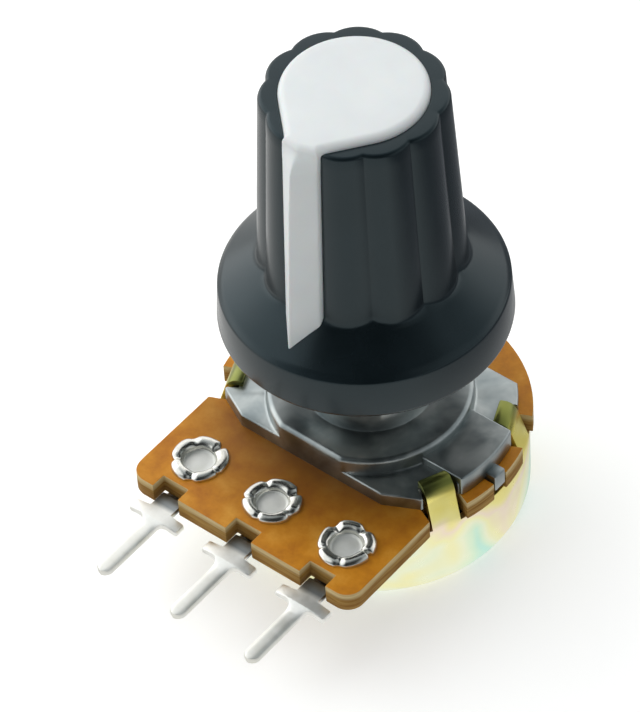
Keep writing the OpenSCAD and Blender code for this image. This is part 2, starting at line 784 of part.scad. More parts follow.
// Plan of the cap: a disc drawn out along its tangents to the pointer's width
module teardrop(grow) {
    r = cap_r + grow;
    w = pointer_half_w + grow;
    tip = grip_top_r + grow;
    turn = atan2(w, tip) + acos(r / norm([tip, w]));
    circle(r);
    polygon([[0, 0], [r * cos(turn), -r * sin(turn)], [tip, -w], [tip, w],
        [r * cos(turn), r * sin(turn)]]);
}

module knob_body() {
    slot_h = cap_top - grip_foot + past;
    color("#33393b") difference() {
        union() {
            rotate_extrude() skirt_section();
            grip();
        }
        difference() {
            rotate_extrude() skirt_hollow();
            for (i = [0:rib_n - 1]) rotate(i * 360 / rib_n)
                translate([hub_r - fuse, -rib_t / 2, wall_top - 1])
                    cube([skirt_r, rib_t, slope_h + past]);
        }
        translate([0, 0, hub_foot - past])
            linear_extrude(bore_end - hub_foot + past) spline_outline(spline_clear);
        rotate(pointer_angle) {
            translate([0, 0, cap_floor - cap_clear])
                linear_extrude(cap_seat + past) teardrop(cap_clear);
            translate([pointer_root - cap_clear, -pointer_half_w - cap_clear, grip_foot - cap_clear])
                cube([skirt_r, 2 * (pointer_half_w + cap_clear), slot_h]);
        }
    }
}

// Pointer down the grip: square root in its slot, then a ridge that flares outwards
module pointer_ridge() {
    w = pointer_half_w;
    z_low = grip_foot;
    z_high = cap_top - cap_edge;
    foot_eave = grip_foot_r;
    top_eave = grip_top_r;
    slope = slope_h / (shoulder_r - valley_r);
    z_point = grip_foot - (ridge_foot_r - valley_r) * slope + 0.05;
    polyhedron(
        points = [
            [pointer_root, -w, z_low], [pointer_root, w, z_low],
            [foot_eave, w, z_low], [ridge_foot_r, 0, z_point], [foot_eave, -w, z_low],
            [pointer_root, -w, z_high], [pointer_root, w, z_high],
            [top_eave, w, z_high], [ridge_top_r, 0, z_high], [top_eave, -w, z_high]],
        faces = [[0, 4, 2, 1], [4, 3, 2], [5, 6, 7, 8, 9], [0, 1, 6, 5], [1, 2, 7, 6],
            [2, 3, 8], [2, 8, 7], [4, 8, 3], [4, 9, 8], [4, 0, 5, 9]]);
}

module pointer_cap() {
    drum = cap_top - cap_floor;
    post = cap_edge + 0.05;
    color("#e9eeee") rotate(pointer_angle) {
        hull() {
            translate([0, 0, cap_floor]) rotate_extrude($fn = 64) {
                square([cap_r - cap_edge, drum]);
                square([cap_r, drum - cap_edge]);
                translate([cap_r - cap_edge, drum - cap_edge]) circle(cap_edge, $fn = 24);
            }
            for (s = [-1, 1])
                translate([grip_top_r - post, s * (pointer_half_w - post), cap_floor]) {
                    cylinder(r = post, h = drum - cap_edge, $fn = 24);
                    translate([0, 0, drum - cap_edge]) sphere(cap_edge, $fn = 24);
                }
        }
        pointer_ridge();
    }
}

rear_can();
terminal_board();
carbon_track();
end_pad(-1);  // end_pad_left
end_pad(1);  // end_pad_right
collector_ring();
rivet(-pitch);  // rivet_left
rivet(0);  // rivet_middle
rivet(pitch);  // rivet_right
terminal(-pitch);  // terminal_left
terminal(0);  // terminal_middle
terminal(pitch);  // terminal_right
front_plate();
thrust_washer();
shaft();
retaining_clip();
rotor();
wiper();
knob_body();
pointer_cap();
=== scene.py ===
# %% [markdown]
# # A rotary potentiometer with its push-on knob
# The real object is about 30 mm tall and 26 mm long: a drawn can, an amber laminate board
# with three terminals, a die-cast front plate and a moulded black knob with a white
# pointer cap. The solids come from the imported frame, so this lesson only adds what a
# camera would notice: soft edges, moulded flutes, split eyelets, a rolled thread and the
# finish of each surface.

# %% Load the frame
import json
import random
from functools import partial
from math import acos, asin, atan2, copysign, cos, degrees, exp, hypot, pi, radians, sin, sqrt

import bmesh
import bpy
import numpy as np
from mathutils import Matrix, Vector

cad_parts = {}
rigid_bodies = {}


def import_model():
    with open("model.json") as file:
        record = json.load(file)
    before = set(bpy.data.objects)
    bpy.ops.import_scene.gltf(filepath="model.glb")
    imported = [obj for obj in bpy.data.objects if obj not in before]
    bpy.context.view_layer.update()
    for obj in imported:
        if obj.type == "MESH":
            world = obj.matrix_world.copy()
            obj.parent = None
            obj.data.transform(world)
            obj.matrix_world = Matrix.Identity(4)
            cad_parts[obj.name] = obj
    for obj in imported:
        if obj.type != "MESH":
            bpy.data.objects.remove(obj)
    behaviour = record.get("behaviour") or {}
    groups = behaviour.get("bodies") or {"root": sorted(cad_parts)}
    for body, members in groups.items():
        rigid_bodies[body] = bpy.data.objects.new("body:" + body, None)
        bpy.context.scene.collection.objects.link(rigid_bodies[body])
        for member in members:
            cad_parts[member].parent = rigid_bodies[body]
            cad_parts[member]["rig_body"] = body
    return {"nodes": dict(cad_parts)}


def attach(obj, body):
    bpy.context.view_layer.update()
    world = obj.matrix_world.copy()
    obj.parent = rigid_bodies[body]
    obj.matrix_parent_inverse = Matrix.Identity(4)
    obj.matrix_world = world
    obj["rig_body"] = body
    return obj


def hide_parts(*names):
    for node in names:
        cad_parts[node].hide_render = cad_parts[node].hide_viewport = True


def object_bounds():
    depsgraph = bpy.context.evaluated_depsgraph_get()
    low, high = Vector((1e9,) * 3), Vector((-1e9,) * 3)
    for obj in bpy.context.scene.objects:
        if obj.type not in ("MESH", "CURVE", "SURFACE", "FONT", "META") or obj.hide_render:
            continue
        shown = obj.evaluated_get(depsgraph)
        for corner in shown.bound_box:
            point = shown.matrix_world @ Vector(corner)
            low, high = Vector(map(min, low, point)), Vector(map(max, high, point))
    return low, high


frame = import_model()
CAD_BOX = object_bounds()
MM = 0.001
scene = bpy.context.scene

# %% [markdown]
# ## Camera
# The photograph looks down on the knob from its front right with a long lens. The lens is
# chosen by its angle: the picture is 38 mm tall where the part stands, 250 mm away, so
# the field of view is under 9 degrees and upright edges stay nearly parallel.

# %% Camera
VIEW_AZIMUTH = radians(41.43)
VIEW_HEIGHT = radians(47.07)
VIEW_ROLL = radians(-3.78)
VIEW_DISTANCE = 250 * MM
AIM = Vector((-1.31, -2.42, 3.40)) * MM
PIXELS_PER_MM = 18.933
LONG_SIDE_PX = 712
SENSOR_MM = 36

back = Vector((sin(VIEW_AZIMUTH) * cos(VIEW_HEIGHT),
               -cos(VIEW_AZIMUTH) * cos(VIEW_HEIGHT), sin(VIEW_HEIGHT)))
level_right = Vector((cos(VIEW_AZIMUTH), sin(VIEW_AZIMUTH), 0))
level_up = back.cross(level_right)
right = cos(VIEW_ROLL) * level_right + sin(VIEW_ROLL) * level_up
up = back.cross(right)

camera_data = bpy.data.cameras.new("camera")
camera_data.sensor_width = SENSOR_MM
camera_data.lens = PIXELS_PER_MM * VIEW_DISTANCE / MM / LONG_SIDE_PX * SENSOR_MM
camera_data.clip_start = 0.01
camera = bpy.data.objects.new("camera", camera_data)
camera.matrix_world = Matrix((right, up, back)).transposed().to_4x4()
camera.location = AIM + back * VIEW_DISTANCE
scene.collection.objects.link(camera)
scene.camera = camera
print("lens in mm:", round(camera_data.lens, 1))

# %% [markdown]
# ## Nodes and colours
# Every finish below is a small node tree. One helper adds a node, sets its options and
# links or fills its inputs, so that each material reads as a short recipe. Colours are
# sRGB hex, the way a colour picker shows them, and are turned to linear light. Patterns
# are laid by object coordinates, so they keep their size and need no unwrapping.

# %% Colour, scale and one helper for nodes
NOISE_SPAN = {"From Min": 0.3, "From Max": 0.7}
GRAIN_DEPTH = 0.01 * MM


def to_linear(hex_colour):
    """Linear RGBA of an sRGB hex colour."""
    digits = hex_colour.lstrip("#")
    channels = [int(digits[i:i + 2], 16) / 255 for i in (0, 2, 4)]
    return tuple(c / 12.92 if c <= 0.04045 else ((c + 0.055) / 1.055) ** 2.4
                 for c in channels) + (1.0,)


def per_mm(size_mm):
    """Texture scale whose pattern repeats about once in size_mm."""
    return 1 / (size_mm * MM)


def add_node(tree, kind, feeds=None, stops=(), **settings):
    """Add a node; feeds gives inputs a value, hex, output or node, stops fill a ramp."""
    made = tree.nodes.new("ShaderNode" + kind)
    for option, value in settings.items():
        setattr(made, option, value)
    for where, value in (feeds or {}).items():
        if isinstance(value, str):
            value = to_linear(value)
        if isinstance(value, bpy.types.Node):
            value = next(output for output in value.outputs if output.enabled)
        if isinstance(value, bpy.types.NodeSocket):
            tree.links.new(value, made.inputs[where])
        else:
            made.inputs[where].default_value = value
    if stops:
        elements = made.color_ramp.elements
        while len(elements) < len(stops):
            elements.new(0.5)
        for element, (position, colour) in zip(elements, stops):
            element.position = position
            element.color = to_linear(colour)
    return made


# %% Start and end of a material
def new_finish(name):
    """A new material, the helper bound to its empty tree, and object coordinates."""
    made = bpy.data.materials.new(name)
    made.use_nodes = True
    made.node_tree.nodes.clear()
    add = partial(add_node, made.node_tree)
    return made, add, add("TexCoord").outputs["Object"]


def close_finish(made, shader):
    """Join a material's last shader to its surface output."""
    add_node(made.node_tree, "OutputMaterial", {"Surface": shader})
    print(made.name, "nodes:", len(made.node_tree.nodes))


def ray_kinds(add):
    """Whether a ray comes straight from the camera, and whether by a mirror or glass."""
    path = add("LightPath")
    bounced = add("Math", {
        0: path.outputs["Is Glossy Ray"], 1: path.outputs["Is Transmission Ray"]},
        operation="MAXIMUM")
    return path.outputs["Is Camera Ray"], bounced


# %% [markdown]
# ## Room
# A part this glossy shows its surroundings, so the world has three looks: white behind
# the part for the camera, a dim, even fill as a light, and in mirrors a studio that grows
# dark toward one side, above the photographer. Metal in a white room looks like plastic.

# %% World
DIM_SIDE = Vector((sin(VIEW_AZIMUTH), -cos(VIEW_AZIMUTH), 0.9)).normalized()
world = bpy.data.worlds.new("soft_room")
scene.world = world
world.use_nodes = True
world.node_tree.nodes.clear()
add = partial(add_node, world.node_tree)
straight, bounced = ray_kinds(add)
direction = add("TexCoord").outputs["Generated"]
# How far a direction points to the dim side
toward_dim = add("VectorMath", {0: direction, 1: DIM_SIDE}, operation="DOT_PRODUCT")
dimming = add("MapRange", {"Value": toward_dim, "From Min": -0.25, "From Max": 0.95})
studio = add("ValToRGB", {0: dimming}, stops=[
    (0.0, "#ffffff"), (0.14, "#ffffff"), (0.29, "#dddfe0"), (0.46, "#aab0b3"),
    (0.62, "#949a9d"), (0.79, "#7e8487"), (0.87, "#505558"), (0.96, "#202324")])
fill = add("Background", {"Color": "#f4f7fa", "Strength": 0.42})
mirrored = add("Background", {"Color": studio, "Strength": 1.3})
backdrop = add("Background", {"Color": "#ffffff", "Strength": 1.0})
lit = add("MixShader", {0: bounced, 1: fill, 2: mirrored})
seen = add("MixShader", {0: straight, 1: lit, 2: backdrop})
add("OutputWorld", {"Surface": seen})
scene.view_settings.view_transform = "Standard"
print("world nodes:", len(world.node_tree.nodes))

# %% [markdown]
# ## Floor
# The part stands on matt white card, lifted a little for the camera, and more far from
# the lamps, so that only the soft shadow shows on it. The part mirrors it as an even tone
# that grows dim where a dark flag stands, behind the part and to its right: that draws
# the dark side of each lobe of the knob.

# %% Floor card
FLOOR_SIZE, LIFT_NEAR, LIFT_FAR = 4, 80 * MM, 260 * MM
FLAG_AZIMUTH, FLAG_NEAR, FLAG_FAR = VIEW_AZIMUTH + radians(108), 4 * MM, 27 * MM
bpy.ops.mesh.primitive_plane_add(size=FLOOR_SIZE, location=(0, 0, CAD_BOX[0][2]))
floor = bpy.context.object
floor.name = "floor"
floor_paint, add, place = new_finish("matt_white_card")
straight, bounced = ray_kinds(add)
card = add("BsdfPrincipled", {"Base Color": "#f6f6f4", "Roughness": 1.0, "Specular IOR Level": 0.0})
away = add("VectorMath", {0: place}, operation="LENGTH")
lift = add("MapRange", {
    "Value": away, "From Min": LIFT_NEAR, "From Max": LIFT_FAR, "To Min": 0.36, "To Max": 1.0})
lift = add("Math", {0: straight, 1: lift}, operation="MULTIPLY")
glow = add("Emission", {"Color": "#ffffff", "Strength": lift})
lifted = add("AddShader", {0: card, 1: glow})
flagward = add("VectorMath", {
    0: place, 1: (sin(FLAG_AZIMUTH), -cos(FLAG_AZIMUTH), 0)}, operation="DOT_PRODUCT")
flagged = add("MapRange", {"Value": flagward, "From Min": FLAG_NEAR, "From Max": FLAG_FAR})
card_tone = add("Mix", {"Factor": flagged, "A": "#fafaf8", "B": "#84888e"}, data_type="RGBA")
card_mirrored = add("Emission", {"Color": card_tone, "Strength": 0.95})
close_finish(floor_paint, add("MixShader", {0: bounced, 1: lifted, 2: card_mirrored}))
floor.data.materials.append(floor_paint)

# %% [markdown]
# ## Lamps
# The soft boxes are set so that a matt surface that looks up at them renders at about the
# colour that is written for it. The box overhead is kept out of the reflections, where
# it would lie as a grey veil on every face that looks up.

# %% Soft boxes
LAMP_AIM_MM = Vector((0, 0, 4))


def soft_lamp(name, place_mm, width_mm, watts):
    """Square area lamp of width_mm at place_mm that looks at the part."""
    data = bpy.data.lights.new(name, "AREA")
    data.shape = "SQUARE"
    data.size = width_mm * MM
    data.energy = watts
    lamp = bpy.data.objects.new(name, data)
    lamp.location = Vector(place_mm) * MM
    lamp.rotation_euler = (LAMP_AIM_MM - Vector(place_mm)).to_track_quat("-Z", "Y").to_euler()
    scene.collection.objects.link(lamp)
    print(name, "of", watts, "W")
    return lamp


soft_lamp("top_softbox", (-90, 50, 230), 300, 0.33).visible_glossy = False
soft_lamp("left_softbox", (-190, -70, 110), 380, 0.37)
soft_lamp("right_softbox", (200, 10, 90), 160, 0.015)

# %% [markdown]
# ## Black knob: moulded ABS
# The tool of such a knob is lightly spark eroded, which leaves a satin sheen and a very
# fine grain: about 0.03 mm on the real part, drawn at 0.12 mm so that it shows. A slower
# noise clouds the tone and the sheen, as handling does.

# %% Satin black moulding
black_moulding, add, place = new_finish("satin_moulded_ABS")
grain = add("TexNoise", {"Vector": place, "Scale": per_mm(0.12), "Detail": 2.0})
cloud = add("TexNoise", {"Vector": place, "Scale": per_mm(3), "Detail": 3.0})
dents = add("Bump", {"Height": grain, "Strength": 0.12, "Distance": GRAIN_DEPTH})
tone = add("ValToRGB", {0: cloud}, stops=[(0.3, "#10181b"), (0.7, "#161f23")])
shine = add("MapRange", {"Value": cloud, **NOISE_SPAN, "To Min": 0.19, "To Max": 0.27})
close_finish(black_moulding, add("BsdfPrincipled", {
    "Base Color": tone, "Roughness": shine, "Normal": dents, "IOR": 1.53,
    "Specular IOR Level": 0.42, "Specular Tint": "#d8f2fa"}))

# %% [markdown]
# ## White cap: moulded ABS
# The same plastic in white has a softer skin, and light enters it a little way, which
# fills its shades. Subsurface scattering of 0.3 mm does that without a glow. The grain is
# drawn at 0.15 mm, coarser than the real one, so that it shows.

# %% White moulding
white_moulding, add, place = new_finish("moulded_white_ABS")
cloud = add("TexNoise", {"Vector": place, "Scale": per_mm(2.5), "Detail": 3.0})
grain = add("TexNoise", {"Vector": place, "Scale": per_mm(0.15), "Detail": 2.0})
dents = add("Bump", {"Height": grain, "Strength": 0.08, "Distance": GRAIN_DEPTH})
tone = add("ValToRGB", {0: cloud}, stops=[(0.3, "#e4e8e8"), (0.7, "#e9edec")])
close_finish(white_moulding, add("BsdfPrincipled", {
    "Base Color": tone, "Roughness": 0.42, "IOR": 1.53, "Subsurface Weight": 0.15,
    "Subsurface Scale": 0.3 * MM, "Normal": dents}))

# %% [markdown]
# ## Can: steel with yellow zinc passivate
# The plating carries a film so thin that its thickness sets its colour: pale green,
# yellow, cyan and pink within a few millimetres. One slow noise stands for the thickness
# and a ramp for the colours in their order. The film is drawn thicker toward the tabs,
# and their bends are painted dark olive as painted shade and a painted dark reflection.

# %% Film colours by thickness
can_plating, add, place = new_finish("yellow_passivated_zinc")
film = add("TexNoise", {"Vector": place, "Scale": per_mm(5), "Detail": 2.0, "Distortion": 0.6})
height = add("SeparateXYZ", {0: place}).outputs["Z"]
upper = add("MapRange", {
    "Value": height, "From Min": -4.6 * MM, "From Max": -2.0 * MM, "To Max": 0.42})
depth = add("Math", {0: film, 1: upper})
tint = add("ValToRGB", {0: depth}, stops=[
    (0.28, "#c2f4e8"), (0.38, "#e4fade"), (0.48, "#f8fcdc"), (0.57, "#fdf9c2"),
    (0.66, "#fbead4"), (0.76, "#faf0a0"), (0.92, "#f2e270")])
# Painted shade: the bend of each tab is darkened to olive, standing in for its shade and the dark it
# reflects from above
bend_shade = add("MapRange", {
    "Value": height, "From Min": -1.30 * MM, "From Max": -0.85 * MM, "To Max": 0.9})
tint = add("Mix", {"Factor": bend_shade, "A": tint, "B": "#66713c"}, data_type="RGBA")

# %% Sheen and drawing lines of the can
smear = add("TexNoise", {"Vector": place, "Scale": per_mm(0.9), "Detail": 4.0})
sheen = add("MapRange", {"Value": smear, **NOISE_SPAN, "To Min": 0.26, "To Max": 0.42})
# Deep drawing leaves fine upright lines: a noise stretched along Z
stretched = add("Mapping", {"Vector": place, "Scale": (1, 1, 0.08)})
drawn = add("TexNoise", {"Vector": stretched, "Scale": per_mm(0.2)})
lines = add("Bump", {"Height": drawn, "Strength": 0.04, "Distance": 0.02 * MM})
close_finish(can_plating, add("BsdfPrincipled", {
    "Base Color": tint, "Metallic": 1.0, "Roughness": sheen, "Normal": lines}))

# %% [markdown]
# ## Board: phenolic paper laminate
# Paper sheets pressed in phenolic resin have amber faces with a faint glaze and mottling,
# and paler sheared edges in which the layers show as fine lines. The material tells face
# from edge by the normal's Z, so one recipe serves the whole solid. Toward the can the
# face is painted dark brown: painted shade where the knob stands over it.

# %% Amber faces
SHADE_FROM, SHADE_TO, SHADE_FRONT, SHADE_BACK = 10.8 * MM, 5.6 * MM, -5.0 * MM, -3.5 * MM
laminate, add, place = new_finish("phenolic_paper_laminate")
spot = add("SeparateXYZ", {0: place})
mottle = add("TexNoise", {"Vector": place, "Scale": per_mm(1.6), "Detail": 5.0, "Roughness": 0.6})
face = add("ValToRGB", {0: mottle}, stops=[(0.30, "#b87018"), (0.52, "#d0881f"), (0.74, "#e2a03a")])
plan = add("VectorMath", {0: place, 1: (1, 1, 0)}, operation="MULTIPLY")
from_axis = add("VectorMath", {0: plan}, operation="LENGTH")
# Painted shade: the face is darkened to brown near the axis and in front, where the knob shades it
knob_shade = add("MapRange", {
    "Value": from_axis, "From Min": SHADE_FROM, "From Max": SHADE_TO, "To Max": 0.82})
front_half = add("MapRange", {
    "Value": spot.outputs["Y"], "From Min": SHADE_FRONT, "From Max": SHADE_BACK,
    "To Min": 1.0, "To Max": 0.0})
knob_shade = add("Math", {0: knob_shade, 1: front_half}, operation="MULTIPLY")
face = add("Mix", {"Factor": knob_shade, "A": face, "B": "#5f3812"}, data_type="RGBA")

# %% Sheared edges of the board
# An edge is clean and pale under the punch at the top, torn and browner below
TEAR_LOW, TEAR_TOP = -2.35 * MM, -2.05 * MM
layered = add("Mapping", {"Vector": place, "Scale": (0.06, 0.06, 1)})
layers = add("TexNoise", {"Vector": layered, "Scale": per_mm(0.12), "Detail": 2.0})
torn = add("MapRange", {"Value": spot.outputs["Z"], "From Min": TEAR_LOW, "From Max": TEAR_TOP})
pale = add("ValToRGB", {0: layers}, stops=[(0.35, "#cdb27c"), (0.65, "#dcc796")])
brown = add("ValToRGB", {0: layers}, stops=[(0.35, "#8d6226"), (0.65, "#b08a48")])
edge = add("Mix", {"Factor": torn, "A": brown, "B": pale}, data_type="RGBA")

# %% The whole board
normal = add("NewGeometry").outputs["Normal"]
tilt = add("SeparateXYZ", {0: normal}).outputs["Z"]
level = add("Math", {0: tilt}, operation="ABSOLUTE")
is_face = add("MapRange", {"Value": level, "From Min": 0.55, "From Max": 0.85})
tone = add("Mix", {"Factor": is_face, "A": edge, "B": face}, data_type="RGBA")
glaze = add("MapRange", {"Value": is_face, "To Min": 0.75, "To Max": 0.42})
paper = add("TexNoise", {"Vector": place, "Scale": per_mm(0.25), "Detail": 3.0})
fibre = add("Bump", {"Height": paper, "Strength": 0.15, "Distance": GRAIN_DEPTH})
close_finish(laminate, add("BsdfPrincipled", {
    "Base Color": tone, "Roughness": glaze, "IOR": 1.55, "Specular IOR Level": 0.22,
    "Normal": fibre}))

# %% [markdown]
# ## Front plate: die-cast zinc
# Zinc chills on the die to a smooth skin with shallow flow marks, so its tone wanders
# over two or three millimetres and its gloss with it. One noise drives both, and a finer
# one dimples the skin a little.

# %% Cast skin
casting, add, place = new_finish("die_cast_zinc")
flow = add("TexNoise", {"Vector": place, "Scale": per_mm(2.2), "Detail": 3.0, "Distortion": 0.4})
tone = add("ValToRGB", {0: flow}, stops=[(0.30, "#7c8587"), (0.50, "#9da4a4"), (0.70, "#bec3c1")])
skin = add("MapRange", {"Value": flow, **NOISE_SPAN, "To Min": 0.30, "To Max": 0.42})
pits = add("TexNoise", {"Vector": place, "Scale": per_mm(0.5), "Detail": 2.0})
marks = add("Bump", {"Height": pits, "Strength": 0.04, "Distance": 0.02 * MM})
close_finish(casting, add("BsdfPrincipled", {
    "Base Color": tone, "Metallic": 1.0, "Roughness": skin, "Normal": marks}))

# %% [markdown]
# ## Terminals: tin-plated brass
# Electroplated tin is nearly white, a little warm, and softly scuffed by the press tool.
# The pins beyond the T shoulder are painted greyer as painted shade, and the neck inside
# the board's notch is painted a dull grey as the board's painted shadow. Both are told
# by their place on the terminal.

# %% Tin plate
PIN_FROM, PIN_TO, NECK_FROM, NECK_TO = -12.9 * MM, -13.8 * MM, -11.75 * MM, -11.45 * MM
tin_plate, add, place = new_finish("tin_plated_brass")
scuff = add("TexNoise", {"Vector": place, "Scale": per_mm(0.6), "Detail": 4.0})
tone = add("ValToRGB", {0: scuff}, stops=[(0.3, "#eae9e2"), (0.7, "#fbfbf7")])
along = add("SeparateXYZ", {0: place}).outputs["Y"]
# Painted shade: the pins beyond the T shoulder are painted a greyer tone
pin = add("MapRange", {"Value": along, "From Min": PIN_FROM, "From Max": PIN_TO, "To Max": 0.3})
tone = add("Mix", {"Factor": pin, "A": tone, "B": "#c9c8bd"}, data_type="RGBA")
# Painted shadow: the neck in the board's notch is painted dull grey, where the board shades it
neck = add("MapRange", {"Value": along, "From Min": NECK_FROM, "From Max": NECK_TO})
tone = add("Mix", {"Factor": neck, "A": tone, "B": "#9a9fa1"}, data_type="RGBA")
rub = add("MapRange", {"Value": scuff, **NOISE_SPAN, "To Min": 0.36, "To Max": 0.50})
close_finish(tin_plate, add("BsdfPrincipled", {
    "Base Color": tone, "Metallic": 1.0, "Roughness": rub}))

# %% [markdown]
# ## Shaft: turned aluminium
# A lathe leaves rings about 0.05 mm apart, which blur the gloss across them. A wave
# texture along the axis gives the rings, drawn at 0.15 mm so that they show.

# %% Turned alloy
WAVES_PER_SCALE = 20
turned_alloy, add, place = new_finish("turned_aluminium")
rings = add("TexWave", {
    "Vector": place, "Scale": per_mm(0.15) / WAVES_PER_SCALE, "Distortion": 0.4},
    bands_direction="Z")
groove = add("Bump", {"Height": rings.outputs["Fac"], "Strength": 0.2, "Distance": GRAIN_DEPTH})
close_finish(turned_alloy, add("BsdfPrincipled", {
    "Base Color": "#cfd1d2", "Metallic": 1.0, "Roughness": 0.28, "Normal": groove}))

# %% [markdown]
# ## Small metal and moulded parts
# The rest are small or half hidden: rolled strip with a cloudy tone, and matt mouldings
# and prints with a fine grain. Each kind has one recipe with a few settings. The flaring
# tool burnishes the eyelets' rings, and leaves the tin on their discs dull.

# %% Rolled strip
def strip_metal(name, dark, light, rough):
    """Rolled metal strip with a cloudy tone."""
    made, add, place = new_finish(name)
    cloud = add("TexNoise", {"Vector": place, "Scale": per_mm(1), "Detail": 4.0})
    tone = add("ValToRGB", {0: cloud}, stops=[(0.3, dark), (0.7, light)])
    close_finish(made, add("BsdfPrincipled", {
        "Base Color": tone, "Metallic": 1.0, "Roughness": rough}))
    return made


burnished_tin = strip_metal("burnished_tin", "#cccbc3", "#e8e7e0", 0.24)
dull_tin = strip_metal("dull_tin", "#f4f4ee", "#fdfdfa", 0.72)
spring_strip = strip_metal("blued_spring_steel", "#565c60", "#6e7478", 0.35)
bronze_strip = strip_metal("phosphor_bronze", "#c08a4e", "#d6a468", 0.28)
silver_print = strip_metal("printed_silver", "#b8b8b4", "#d0d0cc", 0.45)


# %% Matt mouldings and prints
def plain_moulding(name, dark, light, rough, grain_mm):
    """Moulded or printed matt surface with a fine grain."""
    made, add, place = new_finish(name)
    grain = add("TexNoise", {"Vector": place, "Scale": per_mm(grain_mm), "Detail": 3.0})
    tone = add("ValToRGB", {0: grain}, stops=[(0.3, dark), (0.7, light)])
    dents = add("Bump", {"Height": grain, "Strength": 0.15, "Distance": GRAIN_DEPTH})
    close_finish(made, add("BsdfPrincipled", {
        "Base Color": tone, "Roughness": rough, "IOR": 1.5, "Normal": dents}))
    return made


carbon_print = plain_moulding("printed_carbon", "#141415", "#232325", 0.55, 0.2)
rotor_moulding = plain_moulding("moulded_acetal_rotor", "#232325", "#2e2e31", 0.45, 0.2)

# %% [markdown]
# ## Finishes on the frame's own nodes
# The nodes whose shapes are already right only get a better material in their slot.

# %% Which finish each record slot gets
FINISH_OF_SLOT = {
    "passivated_steel": can_plating, "phenolic_board": laminate, "carbon_film": carbon_print,
    "silver_film": silver_print, "tinned_brass": tin_plate, "die_cast_zinc": casting,
    "spring_steel": spring_strip, "shaft_alloy": turned_alloy, "rotor_plastic": rotor_moulding,
    "wiper_bronze": bronze_strip, "knob_plastic": black_moulding, "cap_plastic": white_moulding}
SLOT_OF_NODE = {}
for name, node in frame["nodes"].items():
    for holder in node.material_slots:
        SLOT_OF_NODE[name] = holder.material.name.split(".")[0]
        holder.material = FINISH_OF_SLOT[SLOT_OF_NODE[name]]
print("nodes with a finish:", len(SLOT_OF_NODE))

# %% [markdown]
# ## Soft edges on pressed and cast parts
# A pressed or cast edge has a radius of a twentieth of a millimetre or more, and it is
# what catches the light. A bevel modifier on a copy of the solid gives that. The copy is
# cleaned to plain faces first, so that the bevel only meets real edges.

# %% A piece takes over from its node
def dress(piece, node, instead=True):
    """Give a piece a node's body and finish, and hide the node if it stands for it."""
    slot = SLOT_OF_NODE[node]
    if not piece.data.materials:
        piece.data.materials.append(FINISH_OF_SLOT[slot])
    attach(piece, frame["nodes"][node]["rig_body"])
    if instead:
        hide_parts(node)
    print(piece.name, "faces:", len(piece.data.polygons))


# %% From edit mesh to object, and its shading
def mesh_object(name, edit):
    """New object in the scene from an edit mesh, which is used up."""
    data = bpy.data.meshes.new(name)
    edit.to_mesh(data)
    edit.free()
    piece = bpy.data.objects.new(name, data)
    scene.collection.objects.link(piece)
    return piece


def bake_modifiers(piece):
    """Apply all modifiers to the piece's own mesh."""
    graph = bpy.context.evaluated_depsgraph_get()
    graph.update()
    baked = bpy.data.meshes.new_from_object(piece.evaluated_get(graph))
    piece.modifiers.clear()
    old = piece.data
    piece.data = baked
    bpy.data.meshes.remove(old)


def smooth(piece, limit_deg, flat=False):
    """Smooth shading, broken at more than limit_deg; flat keeps the large faces flat."""
    piece.data.shade_smooth()
    edit = bmesh.new()
    edit.from_mesh(piece.data)
    for edge in edit.edges:
        if len(edge.link_faces) == 2:
            edge.smooth = edge.calc_face_angle(0) < radians(limit_deg)
    edit.to_mesh(piece.data)
    edit.free()
    if flat:
        weighted = piece.modifiers.new("weighted", "WEIGHTED_NORMAL")
        weighted.mode = "FACE_AREA"
        weighted.weight = 100
        weighted.keep_sharp = True
        bake_modifiers(piece)


# %% Rounded edges
WELD, TINY, SAME_PLANE = 2e-7, 1e-7, radians(0.5)


def clean_copy(name):
    """The node's mesh with coplanar faces joined, as an edit mesh."""
    edit = bmesh.new()
    edit.from_mesh(frame["nodes"][name].data)
    bmesh.ops.remove_doubles(edit, verts=edit.verts, dist=WELD)
    bmesh.ops.dissolve_limit(edit, angle_limit=SAME_PLANE, verts=edit.verts, edges=edit.edges)
    return edit


def round_edges(piece, radius_mm, limit_deg=35, steps=2):
    """Round off the edges that are sharper than limit_deg."""
    bevel = piece.modifiers.new("soft_edges", "BEVEL")
    bevel.width = radius_mm * MM
    bevel.segments = steps
    bevel.limit_method = "ANGLE"
    bevel.angle_limit = radians(limit_deg)
    bevel.use_clamp_overlap = False
    bake_modifiers(piece)
    smooth(piece, limit_deg, flat=True)
    return piece


for name, radius_mm in (("terminal_board", 0.06), ("shaft", 0.05)):
    dress(round_edges(mesh_object(name + "_soft", clean_copy(name)), radius_mm), name)

# %% [markdown]
# ## Lathe-like shells
# Knob, cap, bushing and eyelets are round or nearly round. They are made as a stack of
# rings with the same number of points, joined by quads. That is a lathe whose radius may
# also change with the angle, so it makes flutes, threads and split flares as well.

# %% Rings to a shell
def shell(name, rings, closed=False, placed=Matrix()):
    """Shell through rings of (x, y, z) in mm; its ends are capped, or joined."""
    edit = bmesh.new()
    rows = [[edit.verts.new(Vector(point) * MM) for point in ring] for ring in rings]
    count = len(rows[0])
    pairs = list(zip(rows, rows[1:])) + ([(rows[-1], rows[0])] if closed else [])
    for low, high in pairs:
        for i in range(count):
            j = (i + 1) % count
            edit.faces.new((low[i], low[j], high[j], high[i]))
    if not closed:
        edit.faces.new(rows[0][::-1])
        edit.faces.new(rows[-1])
    bmesh.ops.remove_doubles(edit, verts=edit.verts, dist=TINY)
    bmesh.ops.dissolve_degenerate(edit, edges=edit.edges, dist=TINY)
    bmesh.ops.recalc_face_normals(edit, faces=edit.faces)
    piece = mesh_object(name, edit)
    piece.data.transform(placed)
    return piece


